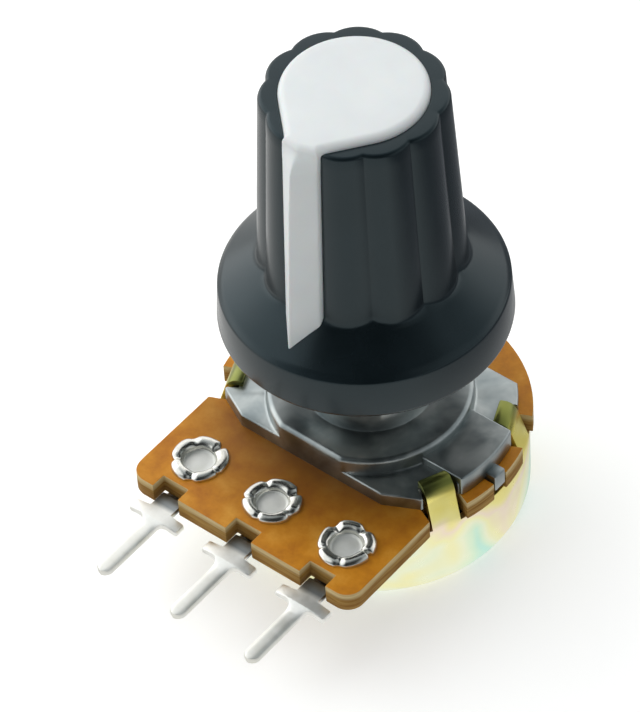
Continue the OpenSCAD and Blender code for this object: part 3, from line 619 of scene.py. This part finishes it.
def each(value, angles):
    """A value for every angle, from a number, a list or a function."""
    if callable(value):
        return [value(angle) for angle in angles]
    return value if isinstance(value, list) else [value] * len(angles)


def turned(angles, radius, height):
    """One ring: radius and height are numbers, lists or functions of the angle."""
    return [(r * cos(a), r * sin(a), z)
            for a, r, z in zip(angles, each(radius, angles), each(height, angles))]


def arc(centre_r, centre_z, size, start_deg, end_deg, steps):
    """(r, z) pairs along an arc of a half section."""
    turns = [radians(start_deg + (end_deg - start_deg) * i / steps) for i in range(steps + 1)]
    return [(centre_r + size * cos(t), centre_z + size * sin(t)) for t in turns]


def wrapped(angle):
    """The angle, brought to within half a turn of zero."""
    return atan2(sin(angle), cos(angle))


# %% Prisms and cuts
def prism(name, outline, low, high):
    """Upright prism of an (x, y) outline in mm."""
    return shell(name, [[(x, y, z) for x, y in outline] for z in (low, high)])


def bar(start, end, half):
    """Rectangle along X from start to end, of a half width."""
    return [(start, -half), (end, -half), (end, half), (start, half)]


def swung(outline, angle):
    """Outline turned about the axis."""
    c, s = cos(angle), sin(angle)
    return [(x * c - y * s, x * s + y * c) for x, y in outline]


def cut_away(piece, cutter):
    """Exact boolean difference; the cutter is used up."""
    cut = piece.modifiers.new("cut", "BOOLEAN")
    cut.operation = "DIFFERENCE"
    cut.solver = "EXACT"
    cut.object = cutter
    bake_modifiers(piece)
    bpy.data.objects.remove(cutter)


# %% [markdown]
# ## The knob
# The real knob is one moulding: a hollow skirt with a sloping shoulder, a grip of eleven
# shallow lobes that narrows to the top, a splined hub and a seat for the cap. The grip's
# radius is the largest of eleven leaning circles, so the valleys stay crisp and run out
# into the shoulder as on a mould.

# %% Sizes of the knob in mm, as in the solids
POINTER = radians(-85.5)
SKIRT_FOOT, WALL_TOP, GRIP_FOOT, KNOB_TOP, CAP_TOP = 5.84, 8.44, 10.39, 21.64, 22.09
SKIRT_R, SHOULDER_R, SKIRT_WALL, SKIRT_ROUND, LIP = 7.85, 7.72, 0.95, 0.3, 0.08
GRIP_FOOT_R, GRIP_TOP_R, VALLEY = 5.52, 4.88, 0.30
LOBES, LOBE_PITCH, LOBE_STEPS, GAP_STEPS = 11, radians(31.25), 26, 12
HUB_R, HUB_FOOT, HUB_CHAMFER, BORE_END = 4.25, 8.24, 0.2, 15.44
VALLEY_R = GRIP_FOOT_R - VALLEY
LOBE_CENTRE = ((GRIP_FOOT_R ** 2 - VALLEY_R ** 2)
               / (2 * (GRIP_FOOT_R - VALLEY_R * cos(LOBE_PITCH / 2))))
LOBE_R = GRIP_FOOT_R - LOBE_CENTRE
TAPER = GRIP_TOP_R / GRIP_FOOT_R
TOP_EDGE, TOP_INNER_R = 0.22, 3.0
SHOULDER_DROP, SHOULDER_FILLET, FILLET_BELOW, FILLET_ABOVE = 0.12, 0.10, 1.9, 1.0
print("lobe radius in mm:", round(LOBE_R, 2))


# %% Radius of grip and shoulder
def softer_max(a, b, k):
    """The larger of two, with a fillet of about k where they meet."""
    return 0.5 * (a + b + sqrt((a - b) ** 2 + k * k))


def grip_radius(angle, height):
    """Radius of the fluted grip; angle is measured from the pointer."""
    shrink = 1 + (TAPER - 1) * (height - GRIP_FOOT) / (KNOB_TOP - GRIP_FOOT)
    reach = VALLEY_R * shrink
    for lobe in range(LOBES):
        off = wrapped(angle - pi - (lobe - (LOBES - 1) / 2) * LOBE_PITCH)
        if abs(off) < LOBE_PITCH:
            across = LOBE_CENTRE * sin(off)
            reach = max(reach, shrink * (LOBE_CENTRE * cos(off)
                                         + sqrt(LOBE_R ** 2 - across ** 2)))
    return reach


def shoulder_radius(height):
    """Radius of the sloping shoulder at a height."""
    run = SHOULDER_R - SHOULDER_DROP - VALLEY_R
    return VALLEY_R + (GRIP_FOOT - height) * run / (GRIP_FOOT - WALL_TOP)


def knob_angles():
    """Angles from the pointer, with a point in each valley."""
    start = pi - LOBES / 2 * LOBE_PITCH
    lobes = [start + LOBE_PITCH * i / LOBE_STEPS for i in range(LOBES * LOBE_STEPS)]
    return lobes + [2 * pi - start + 2 * start * i / GAP_STEPS for i in range(GAP_STEPS)]


# %% Knob shell
def knob_shell():
    """Hub, skirt, shoulder and grip, from the bore outward and up."""
    turns = knob_angles()
    roof = GRIP_FOOT - 1.35 * SKIRT_WALL - 0.3
    inner = SKIRT_R - SKIRT_WALL
    section = [(0.02, HUB_FOOT), (HUB_R - HUB_CHAMFER, HUB_FOOT), (HUB_R, HUB_FOOT + HUB_CHAMFER),
               (HUB_R, roof), (HUB_R + 0.5, roof),
               (SHOULDER_R - SKIRT_WALL, WALL_TOP - SKIRT_WALL),
               (inner, SKIRT_FOOT + LIP), (inner + LIP, SKIRT_FOOT)]
    section += arc(SKIRT_R - SKIRT_ROUND, SKIRT_FOOT + SKIRT_ROUND, SKIRT_ROUND, -90, 0, 5)
    section += arc(SHOULDER_R - SKIRT_ROUND, WALL_TOP - SKIRT_ROUND, SKIRT_ROUND, 0, 52, 5)
    rings = [turned(turns, r, z) for r, z in section]
    lean = KNOB_TOP - TOP_EDGE - GRIP_FOOT - FILLET_ABOVE
    levels = [GRIP_FOOT - FILLET_BELOW + 0.16 * i for i in range(17)]
    levels += [GRIP_FOOT + FILLET_ABOVE + lean * i / 16 for i in range(17)]
    for z in levels:
        rings.append(turned(turns, lambda a: softer_max(
            grip_radius(a, z), shoulder_radius(z), SHOULDER_FILLET), z))
    for r_in, z in arc(0, KNOB_TOP - TOP_EDGE, TOP_EDGE, 15, 90, 5):
        rings.append(turned(turns, lambda a: grip_radius(a, KNOB_TOP) - (TOP_EDGE - r_in), z))
    rings.append(turned(turns, TOP_INNER_R, KNOB_TOP))
    return shell("knob_body_moulded", rings, placed=Matrix.Rotation(POINTER, 4, "Z"))


# %% Outlines cut into the knob: splined bore and seat of the cap
TEETH, SPLINE_R, SPLINE_DEPTH = 18, 3.02, 0.25
CAP_R, POINTER_HALF, RIDGE_TOP, RIDGE_FOOT, NECK_X = 3.86, 1.07, 5.85, 6.95, 4.62
CAP_FLOOR, POINTER_ROOT, FIT, SLOT_END = KNOB_TOP - 1.0, 3.70, 0.03, 9.0


def spline_outline():
    """Splined bore, its teeth as steps between two radii."""
    root = SPLINE_R - SPLINE_DEPTH
    step = 2 * pi / TEETH
    return [(r * cos(step * (i + k)), r * sin(step * (i + k))) for i in range(TEETH)
            for k, r in ((0, SPLINE_R), (0.4, SPLINE_R), (0.5, root), (0.9, root))]


def teardrop_radius(angle, grow=0):
    """Polar radius of the cap's plan: a disc drawn out to the pointer's width."""
    r, w = CAP_R + grow, POINTER_HALF + grow
    turn = atan2(w, NECK_X) + acos(r / hypot(NECK_X, w))
    off = abs(wrapped(angle))
    if off < atan2(w, NECK_X):
        return NECK_X / cos(off)
    return r / cos(off - turn) if off < turn else r


# %% Knob body
knob = knob_shell()
cut_away(knob, prism("bore", spline_outline(), HUB_FOOT - 1, BORE_END))
seat = turned([2 * pi * i / 240 for i in range(240)], lambda a: teardrop_radius(a, FIT), 0)
cut_away(knob, prism("seat", swung([(x, y) for x, y, _ in seat], POINTER),
                     CAP_FLOOR - FIT, CAP_TOP + 1))
slot = bar(POINTER_ROOT - FIT, SLOT_END, POINTER_HALF + FIT)
cut_away(knob, prism("slot", swung(slot, POINTER), GRIP_FOOT - FIT, CAP_TOP + 1))
smooth(knob, 32)
dress(knob, "knob_body")

# %% Ribs under the skirt
RIBS, RIB_HALF, RIB_FOOT, RIB_TOP = 6, 0.4, WALL_TOP - 1.0, GRIP_FOOT - 1.5
for i in range(RIBS):
    web = swung(bar(HUB_R - 0.1, SHOULDER_R - 0.7, RIB_HALF), i * 2 * pi / RIBS)
    dress(prism("skirt_rib_%d" % (i + 1), web, RIB_FOOT, RIB_TOP), "knob_body", instead=False)

# %% [markdown]
# ## The pointer cap
# A white moulding pressed into the top of the grip: a disc drawn out to a pointer, which
# runs on down the grip as a ridge with two flat sides and meets the shoulder in a point.
# It is one shell again: each ring is the outline of the cap at one height, and the edge
# is rounded by pulling the outline in.

# %% Outline of the cap at a height
RIDGE_HIGH, RIDGE_LOW, NOSE_BEND, NOSE_CURL = CAP_TOP - 0.4, 9.09, 20.1, 0.3
RIDGE_ROUND, FLANK_ROUND, NECK_FILLET, POINTER_SIDE = 0.10, 0.08, 0.12, 0.6


def softer_min(a, b, k):
    """The smaller of two, with the corner rounded by about k."""
    return -softer_max(-a, -b, k)


def flank_radius(angle):
    """Polar radius of the pointer's two parallel flanks."""
    return POINTER_HALF / max(1e-6, abs(sin(angle)))


def ridge_radius(angle, height):
    """Polar radius of the pointer's two sloping sides and its flanks."""
    fall = (RIDGE_HIGH - height) / (RIDGE_HIGH - RIDGE_LOW)
    nose = RIDGE_TOP + (RIDGE_FOOT - RIDGE_TOP) * fall
    nose -= NOSE_CURL * max(0, height - NOSE_BEND) ** 2
    eave = GRIP_TOP_R + (GRIP_FOOT_R - GRIP_TOP_R) * (RIDGE_HIGH - height) / (RIDGE_HIGH - GRIP_FOOT)
    slope = (nose - eave) / POINTER_HALF
    left, right = [nose / max(0.05, cos(angle) + side * slope * sin(angle))
                   for side in (1, -1)]
    front, flank = softer_min(left, right, RIDGE_ROUND), flank_radius(angle)
    return softer_min(front, flank, FLANK_ROUND) if flank < 3 * front else front


def cap_outline(turns, height):
    """Radii of the disc, with the pointer's ridge joined on by a fillet."""
    return [softer_max(teardrop_radius(a), ridge_radius(a, height), NECK_FILLET)
            if abs(a) < POINTER_SIDE else teardrop_radius(a) for a in turns]


# %% Pulling an outline in
HALVINGS = 24


def pulled_in(turns, radii, distance):
    """Polar outline pulled in by a distance, found by halving along each ray."""
    edge = np.array([(r * cos(a), r * sin(a)) for a, r in zip(turns, radii)])
    ahead = np.roll(edge, -1, axis=0) - edge
    length = (ahead ** 2).sum(1)
    way = np.array([(cos(a), sin(a)) for a in turns])
    low, high = np.zeros(len(turns)), np.array(radii)
    for _ in range(HALVINGS):
        mid = (low + high) / 2
        gap = (way * mid[:, None])[:, None, :] - edge[None, :, :]
        along = np.clip((gap * ahead[None]).sum(2) / length[None], 0, 1)
        near = np.sqrt(((gap - along[..., None] * ahead[None]) ** 2).sum(2)).min(1)
        inside = near > distance
        low, high = np.where(inside, mid, low), np.where(inside, high, mid)
    return list(low)


# %% Cap shell
CAP_EDGE, CAP_DOME = 0.42, 0.04
CAP_RIM = CAP_TOP - CAP_DOME
POINTER_LEVELS = (8.95, 9.6, 10.4, 12.0, 15.0, 18.0, CAP_FLOOR)


def pointer_ring(turns, height):
    """The pointer below the disc: sides and flanks outside, its root inside."""
    ring = []
    corner = atan2(POINTER_HALF, POINTER_ROOT)
    for off in map(wrapped, turns):
        if abs(off) <= corner:
            r = min(ridge_radius(off, height), flank_radius(off))
            ring.append((r * cos(off), r * sin(off), height))
        else:
            share = (abs(off) - corner) / (pi - corner)
            ring.append((POINTER_ROOT, copysign(POINTER_HALF * (1 - share), off), height))
    return ring


def cap_shell():
    """Pointer, disc, rounded edge and slight dome, from the foot up."""
    turns = [radians(-18 + 0.4 * i) for i in range(91)]
    turns += [radians(20 + 2 * i) for i in range(161)]
    rings = [pointer_ring(turns, z) for z in POINTER_LEVELS]
    for z in [CAP_FLOOR + rise for rise in (0, 0.25, 0.5, 0.75)] + [CAP_RIM - CAP_EDGE]:
        rings.append(turned(turns, cap_outline(turns, z), z))
    outline = cap_outline(turns, CAP_RIM - CAP_EDGE)
    for inset, z in arc(0, CAP_RIM - CAP_EDGE, CAP_EDGE, 12, 90, 7):
        radii = pulled_in(turns, outline, CAP_EDGE - inset)
        rings.append(turned(turns, radii, z))
    for share in (0.8, 0.5, 0.2, 0.02):
        rings.append(turned(turns, [share * r for r in radii], CAP_TOP - CAP_DOME * share ** 2))
    return shell("pointer_cap_moulded", rings, placed=Matrix.Rotation(POINTER, 4, "Z"))


cap = cap_shell()
smooth(cap, 40)
dress(cap, "pointer_cap")

# %% [markdown]
# ## Front plate and threaded bushing
# Plate, round boss and bushing are one zinc casting, and the thread is rolled on above a
# plain neck. So they are one shell, from the plate's underside over its edge, up the
# boss, round the thread and down the bore. The plate's outline is not round, but each
# ray from the axis meets it once, so a radius by angle still draws it.

# %% Sizes of the casting in mm, as in the solids
PLATE_R, PLATE_FRONT, PLATE_REAR, PLATE_CORNER, PLATE_EDGE = 7.9, 5.2, 5.4, 1.2, 0.12
PLATE_FOOT, PLATE_TOP, BOSS_R, BOSS_EDGE, BOSS_FILLET = -1.85, -1.0, 5.6, 0.3, 0.15
TAB_ANGLES, TAB_SLOT_IN, TAB_SLOT_HALF = (24, -24, 156, -156), 7.2, radians(7.6)
BUSHING_R, BUSHING_L, BORE_R, CHAMFER, MIDDLE_R = 3.5, 7.0, 3.05, 0.4, 4.4
THREAD_PITCH, THREAD_DEPTH, THREAD_START, THREAD_RUN_IN, LEVELS = 0.75, 0.36, 1.25, 0.5, 96
CORNER_X = sqrt(PLATE_R ** 2 - PLATE_FRONT ** 2) - PLATE_CORNER
print("turns of the thread:", round((BUSHING_L - THREAD_START) / THREAD_PITCH, 1))


# %% Radii of plate, boss and thread
def plate_radius(angle):
    """Plan of the plate: disc, flat front and rear, cut corners and four tab slots."""
    c, s = cos(angle), sin(angle)
    reach = min(PLATE_R, PLATE_FRONT / -s if s < 0 else PLATE_REAR / max(s, 1e-9))
    if abs(c) / 2 - s > 0:
        reach = min(reach, (PLATE_FRONT + CORNER_X / 2) / (abs(c) / 2 - s))
    for tab in TAB_ANGLES:
        if abs(wrapped(angle - radians(tab))) < TAB_SLOT_HALF:
            reach = min(reach, TAB_SLOT_IN)
    return reach


def boss_radius(angle):
    """Round boss with a flat that is flush with the plate's front."""
    s = sin(angle)
    return min(BOSS_R, PLATE_FRONT / -s) if s < 0 else BOSS_R


def edge_size(angle):
    """Rounding of the plate's edge, none where the boss stands flush with it."""
    return min(PLATE_EDGE, max(0, plate_radius(angle) - boss_radius(angle)))


def fillet_size(angle):
    """Fillet at the foot of the boss, within the room that the edge leaves."""
    room = plate_radius(angle) - edge_size(angle) - boss_radius(angle)
    return min(BOSS_FILLET, max(0, room))


def thread_radius(angle, height):
    """Rolled thread between the plain neck and the chamfer."""
    phase = (height / THREAD_PITCH - angle / (2 * pi)) % 1
    wave = min(1, max(0, abs(2 * phase - 1) * 1.3 - 0.12))
    fade = min(1, max(0, (height - THREAD_START) / THREAD_RUN_IN))
    return min(BUSHING_R - THREAD_DEPTH * wave * fade,
               BUSHING_R - max(0, height - BUSHING_L + CHAMFER))


# %% Angles of the casting
def casting_angles():
    """Even steps, and the angles at which the plate turns a corner."""
    corners = [degrees(atan2(-PLATE_FRONT, CORNER_X)),
               degrees(asin(PLATE_REAR / PLATE_R)),
               -90 + degrees(acos(PLATE_FRONT / BOSS_R))]
    corners += [180 - a for a in corners]
    slot = degrees(TAB_SLOT_HALF)
    corners += [tab + side * (slot + tiny) for tab in TAB_ANGLES for side in (-1, 1)
                for tiny in (-0.02, 0.02)]
    even = [2.5 * i for i in range(144)]
    return [radians(a) for a in sorted(set(round(a % 360, 3) for a in corners + even))]


# %% Casting
def quarter_turn(*shares):
    """Cosine and sine at shares of a right angle."""
    return [(cos(share * pi / 2), sin(share * pi / 2)) for share in shares]


def casting_rings():
    """From the plate's foot over boss and thread and down the bore."""
    turns = casting_angles()
    rings = [turned(turns, plate_radius, PLATE_FOOT)]
    for c, s in quarter_turn(0, 0.26, 0.5, 0.76, 1):
        rings.append(turned(turns, lambda a: plate_radius(a) - edge_size(a) * (1 - c),
                            PLATE_TOP - PLATE_EDGE * (1 - s)))
    for c, s in quarter_turn(0, 0.33, 0.66, 1):
        rings.append(turned(turns, lambda a: boss_radius(a) + fillet_size(a) * (1 - s),
                            lambda a: PLATE_TOP + fillet_size(a) * (1 - c)))
    for inset, z in arc(0, -BOSS_EDGE, BOSS_EDGE, 0, 90, 6):
        rings.append(turned(turns, lambda a: boss_radius(a) - BOSS_EDGE + inset, z))
    rings += [turned(turns, r, z) for r, z in (
        (MIDDLE_R, 0), (BUSHING_R + 0.15, 0), (BUSHING_R + 0.04, 0.04), (BUSHING_R, 0.15),
        (BUSHING_R, 0.7))]
    for i in range(LEVELS + 1):
        z = THREAD_START + (BUSHING_L - THREAD_START) * i / LEVELS
        rings.append(turned(turns, lambda a: thread_radius(a, z), z))
    return rings + [turned(turns, r, z) for r, z in (
        (BORE_R + 0.1, BUSHING_L), (BORE_R, BUSHING_L - 0.1), (BORE_R, 3.0),
        (BORE_R, PLATE_FOOT), (MIDDLE_R, PLATE_FOOT))]


plate = shell("front_plate_cast", casting_rings(), closed=True)
smooth(plate, 30, flat=True)
dress(plate, "front_plate")

# %% [markdown]
# ## Can and tabs
# The can is deep drawn from sheet and its four tabs are bent over the front plate with an
# even, generous bend. The cup is a softened copy of the solid cut off at its rim, and
# the tabs are drawn as bent strip.

# %% Cup without its tabs
RIM_Z, CAN_R, CAN_WALL, TAB_HALF, CUP_EDGE = -3.1, 8.5, 0.4, 0.85, 0.04
cup_edit = clean_copy("rear_can")
bmesh.ops.bisect_plane(cup_edit, geom=cup_edit.verts[:] + cup_edit.edges[:] + cup_edit.faces[:],
                       dist=TINY, plane_co=(0, 0, (RIM_Z - 0.02) * MM), plane_no=(0, 0, 1),
                       clear_outer=True)
bmesh.ops.holes_fill(cup_edit, edges=[e for e in cup_edit.edges if e.is_boundary])
dress(round_edges(mesh_object("rear_can_drawn", cup_edit), CUP_EDGE), "rear_can")

# %% Path of a folded tab
BEND_R, LEAN_R, BEND_Z, TAB_TIP_R, BEND_STEPS = 0.75, 7.95, -1.35, 6.9, 8


def tab_path():
    """(r, z, normal angle) of a tab's outer face, from the rim to its tip."""
    slope = atan2(CAN_R - LEAN_R, BEND_Z - RIM_Z)
    path = [(CAN_R - 0.01, RIM_Z - 0.1, 0.0), (CAN_R - 0.01, RIM_Z + 0.02, 0.3 * slope)]
    path += [(CAN_R + (LEAN_R - CAN_R) * t, RIM_Z + (BEND_Z - RIM_Z) * t, slope)
             for t in (0.12, 0.5, 0.9)]
    for i in range(BEND_STEPS + 1):
        t = slope + (pi / 2 - slope) * i / BEND_STEPS
        rise = (sin(t) - sin(slope)) / (1 - sin(slope))
        path.append((LEAN_R - BEND_R + BEND_R * cos(t) / cos(slope),
                     BEND_Z + BEND_R * rise, t))
    top = BEND_Z + BEND_R
    return path + [(TAB_TIP_R + 0.06, top, pi / 2), (TAB_TIP_R, top - 0.05, pi / 2)]


# %% Folded tabs
SHEET_ROUND, TIP_TAPER = 0.05, 0.06


def tab_section(r, z, facing, half):
    """Loop across the sheet; its edges are a little rounded."""
    edge = SHEET_ROUND
    loop = [(r - depth * cos(facing), wide, z - depth * sin(facing)) for depth, wide in (
        (0, half - edge), (0.3 * edge, half - 0.3 * edge), (edge, half),
        (CAN_WALL - edge, half), (CAN_WALL, half - edge))]
    return loop + [(x, -y, low) for x, y, low in reversed(loop)]


halves = [TAB_HALF] * (len(tab_path()) - 1) + [TAB_HALF - TIP_TAPER]
for number, tab in enumerate(TAB_ANGLES, 1):
    sections = [tab_section(*spot, half) for spot, half in zip(tab_path(), halves)]
    strip = shell("can_tab_%d" % number, sections, placed=Matrix.Rotation(radians(tab), 4, "Z"))
    smooth(strip, 40, flat=True)
    dress(strip, "rear_can", instead=False)

# %% [markdown]
# ## Side pads and locating lug
# Between the tabs the casting is raised to two pads, and a small lug at the right keys
# it to the board. They are plain prisms with rounded edges, sunk into the plate.

# %% Pads and lug
PAD_IN, PAD_REACH, PAD_TOP, PAD_HALF_ANGLE, PAD_ROUND = BOSS_R - 0.5, 8.1, -0.55, 15.5, 0.10
LUG_IN, LUG_OUT, LUG_HALF, LUG_FOOT, LUG_ROUND = 7.4, 8.7, 0.425, -2.5, 0.08


def rounded_prism(name, outline, low, high, radius_mm):
    """Prism whose edges are all rounded, dressed as part of the casting."""
    piece = round_edges(prism(name, outline, low, high), radius_mm, 40, 3)
    dress(piece, "front_plate", instead=False)


for name, facing in (("side_pad_right", 0.0), ("side_pad_left", pi)):
    sweep = [radians(PAD_HALF_ANGLE * (i / 8 - 1)) for i in range(17)]
    rim = [(PAD_REACH * cos(t), PAD_REACH * sin(t)) for t in sweep]
    half = rim[-1][1]
    pad = swung([(PAD_IN, -half)] + rim + [(PAD_IN, half)], facing)
    rounded_prism(name, pad, PLATE_FOOT, PAD_TOP, PAD_ROUND)
rounded_prism("locating_lug", bar(LUG_IN, LUG_OUT, LUG_HALF), LUG_FOOT, PLATE_FOOT + 0.42, LUG_ROUND)

# %% [markdown]
# ## Terminals
# A terminal is one stamping: an eye under the eyelet, a neck that steps up through the
# board's notch, a T shoulder that stops it in a circuit board, and a pin with pressed
# edges. It is drawn as sections along its length, each with a half width, a height and
# an amount by which its edges are pressed down.

# %% Section across the strip
TERMINAL_X = {"left": -5.0, "middle": 0.0, "right": 5.0}
SHEET, EYE_Y, EYE_R, NECK_HALF, STEP_Y = 0.35, -8.5, 1.65, 0.75, -10.42
LOW, HIGH, PIN_HIGH = -3.2, -2.8, -3.0
SHOULDER_Y, SHOULDER_L, SHOULDER_HALF, SHOULDER_DROOP = -11.85, 0.65, 1.65, 0.12
PIN_HALF, PIN_TIP, PIN_DROOP = 0.48, -16.8, 0.05


def strip_section(y, half, top, droop):
    """Closed loop across the strip; droop presses the edges down."""
    edge = min(0.06, half * 0.6)
    across = [half * (i / 6 - 1) for i in range(13)]
    sag = lambda x: droop * (abs(x) / half) ** 3
    upper, lower = [[(x * (half - edge) / half, y, top - depth - sag(x)) for x in across]
                    for depth in (0, SHEET)]
    side = [(half, y, top - sag(half) - SHEET * share) for share in (0.3, 0.7)]
    return upper + side + lower[::-1] + [(-x, y, z) for x, _, z in reversed(side)]


# %% Sections along the strip, as (y, half width, top, droop)
def eye_and_neck():
    """Round eye, neck, and the step up to the board's top."""
    rows = []
    for i in range(1, 19):
        t = pi * i / 24
        half = EYE_R * sin(t)
        rows.append((EYE_Y + EYE_R * cos(t), max(half, NECK_HALF if i > 12 else half), LOW, 0))
    rows.append((-10.0, NECK_HALF, LOW, 0))
    rows += [(STEP_Y - ahead, NECK_HALF, top, 0) for ahead, top in (
        (0, LOW), (0.08, LOW + 0.04), (0.20, LOW + 0.2), (0.32, HIGH - 0.04), (0.42, HIGH),
        (0.88, HIGH))]
    return rows


def shoulder():
    """The T and the flare from it down to the pin."""
    end = SHOULDER_Y - SHOULDER_L
    rows = [(SHOULDER_Y + 0.06, NECK_HALF, HIGH, 0), (SHOULDER_Y + 0.02, NECK_HALF + 0.08, HIGH, 0)]
    rows += [(y, SHOULDER_HALF - inset, HIGH, SHOULDER_DROOP) for y, inset in (
        (SHOULDER_Y, 0.06), (SHOULDER_Y - 0.05, 0), (end + 0.05, 0), (end, 0.06))]
    return rows + [(end - 0.02, 0.9, HIGH - 0.01, 0.02), (end - 0.10, 0.68, HIGH - 0.03, 0.01),
                   (end - 0.25, 0.55, HIGH - 0.10, 0.02),
                   (end - 0.42, PIN_HALF + 0.02, PIN_HIGH + 0.02, 0.04),
                   (end - 0.6, PIN_HALF, PIN_HIGH, PIN_DROOP)]


def pin_rows():
    """Straight pin and its round tip."""
    rows = [(y, PIN_HALF, PIN_HIGH, PIN_DROOP) for y in (-13.6, -14.6, -15.6, PIN_TIP + PIN_HALF)]
    for i in range(1, 9):
        t = pi / 2 * i / 8.4
        rows.append((PIN_TIP + PIN_HALF - PIN_HALF * sin(t), PIN_HALF * cos(t),
                     PIN_HIGH - PIN_DROOP * sin(t) ** 3, PIN_DROOP * cos(t) ** 2))
    return rows


# %% Stamped terminals
for side, x in TERMINAL_X.items():
    rows = eye_and_neck() + shoulder() + pin_rows()
    strip = shell("terminal_%s_stamped" % side, [strip_section(*row) for row in rows],
                  placed=Matrix.Translation((x * MM, 0, 0)))
    smooth(strip, 42, flat=True)
    dress(strip, "terminal_" + side)

# %% [markdown]
# ## Eyelets
# Each terminal is held by a hollow tin-plated eyelet. Its end splits into petals when the
# tool flares it over the board, and no two are alike. The shell has a section that curls
# out and down, and its reach drops sharply at each split.

# %% Flared eyelets
PETALS, FIRST_SEED, FLARE_STEPS = 5, 3, 12
FLARE_FOOT, FLARE_IN, FLARE_OUT, FLARE_RISE = -1.85, 0.90, 1.65, 0.40
DISC_Z, HEAD_LOW, HEAD_HIGH, SHANK_R = -2.02, -3.85, -3.55, 1.0
DISC_LOW, DISC_HIGH = -2.2 * MM, -1.9 * MM


def petals(seed):
    """A function that gives (reach, rise) of the flare at an angle, both up to 1."""
    chance = random.Random(seed)
    splits = [radians(360 / PETALS * i + chance.uniform(-14, 14)) for i in range(PETALS)]
    cuts = [(chance.uniform(0.08, 0.42), radians(chance.uniform(4, 11))) for _ in splits]
    swell = [(chance.uniform(0.05, 0.12), chance.uniform(0, 6.3)) for _ in range(3)]

    def spread(angle):
        reach = 0.95 + sum(size * cos((k + 1) * angle + lag) / 2
                           for k, (size, lag) in enumerate(swell))
        rise = 0.78 + 0.18 * cos(angle - swell[0][1]) + 0.08 * cos(3 * angle)
        for at, (depth, width) in zip(splits, cuts):
            notch = exp(-(wrapped(angle - at) / width) ** 2)
            reach -= depth * notch
            rise -= 0.45 * notch * depth / 0.3
        return min(1, reach), min(1, rise)

    return spread


def eyelet(name, x, seed):
    """Head below, shank, flare with petals, and the disc sunk in its middle."""
    spread = petals(seed)
    turns = [2 * pi * i / 180 for i in range(180)]
    rings = [turned(turns, r, z) for r, z in (
        (0.02, HEAD_LOW), (1.35, HEAD_LOW), (1.45, HEAD_LOW + 0.1), (1.42, HEAD_HIGH),
        (SHANK_R, HEAD_HIGH + 0.01), (SHANK_R, FLARE_FOOT + 0.02))]
    for step in range(FLARE_STEPS + 1):
        t = pi * step / FLARE_STEPS
        out, up_share = 0.5 + 0.5 * cos(t), sin(t) ** 0.8
        rings.append(turned(turns, lambda a: FLARE_IN + (FLARE_OUT - FLARE_IN) * out * spread(a)[0],
                            lambda a: FLARE_FOOT + 0.01 + FLARE_RISE * up_share * spread(a)[1]))
    rings += [turned(turns, r, z) for r, z in (
        (0.86, FLARE_FOOT - 0.06), (0.80, DISC_Z + 0.02), (0.70, DISC_Z), (0.40, DISC_Z + 0.03),
        (0.02, DISC_Z + 0.05))]
    piece = shell(name, rings, placed=Matrix.Translation((x * MM, EYE_Y * MM, 0)))
    smooth(piece, 50)
    return piece


for seed, (side, x) in enumerate(TERMINAL_X.items(), FIRST_SEED):
    piece = eyelet("eyelet_" + side, x, seed)
    piece.data.materials.append(burnished_tin)
    piece.data.materials.append(dull_tin)
    for face in piece.data.polygons:
        if DISC_LOW < face.center.z < DISC_HIGH:
            face.material_index = 1
    dress(piece, "rivet_" + side)
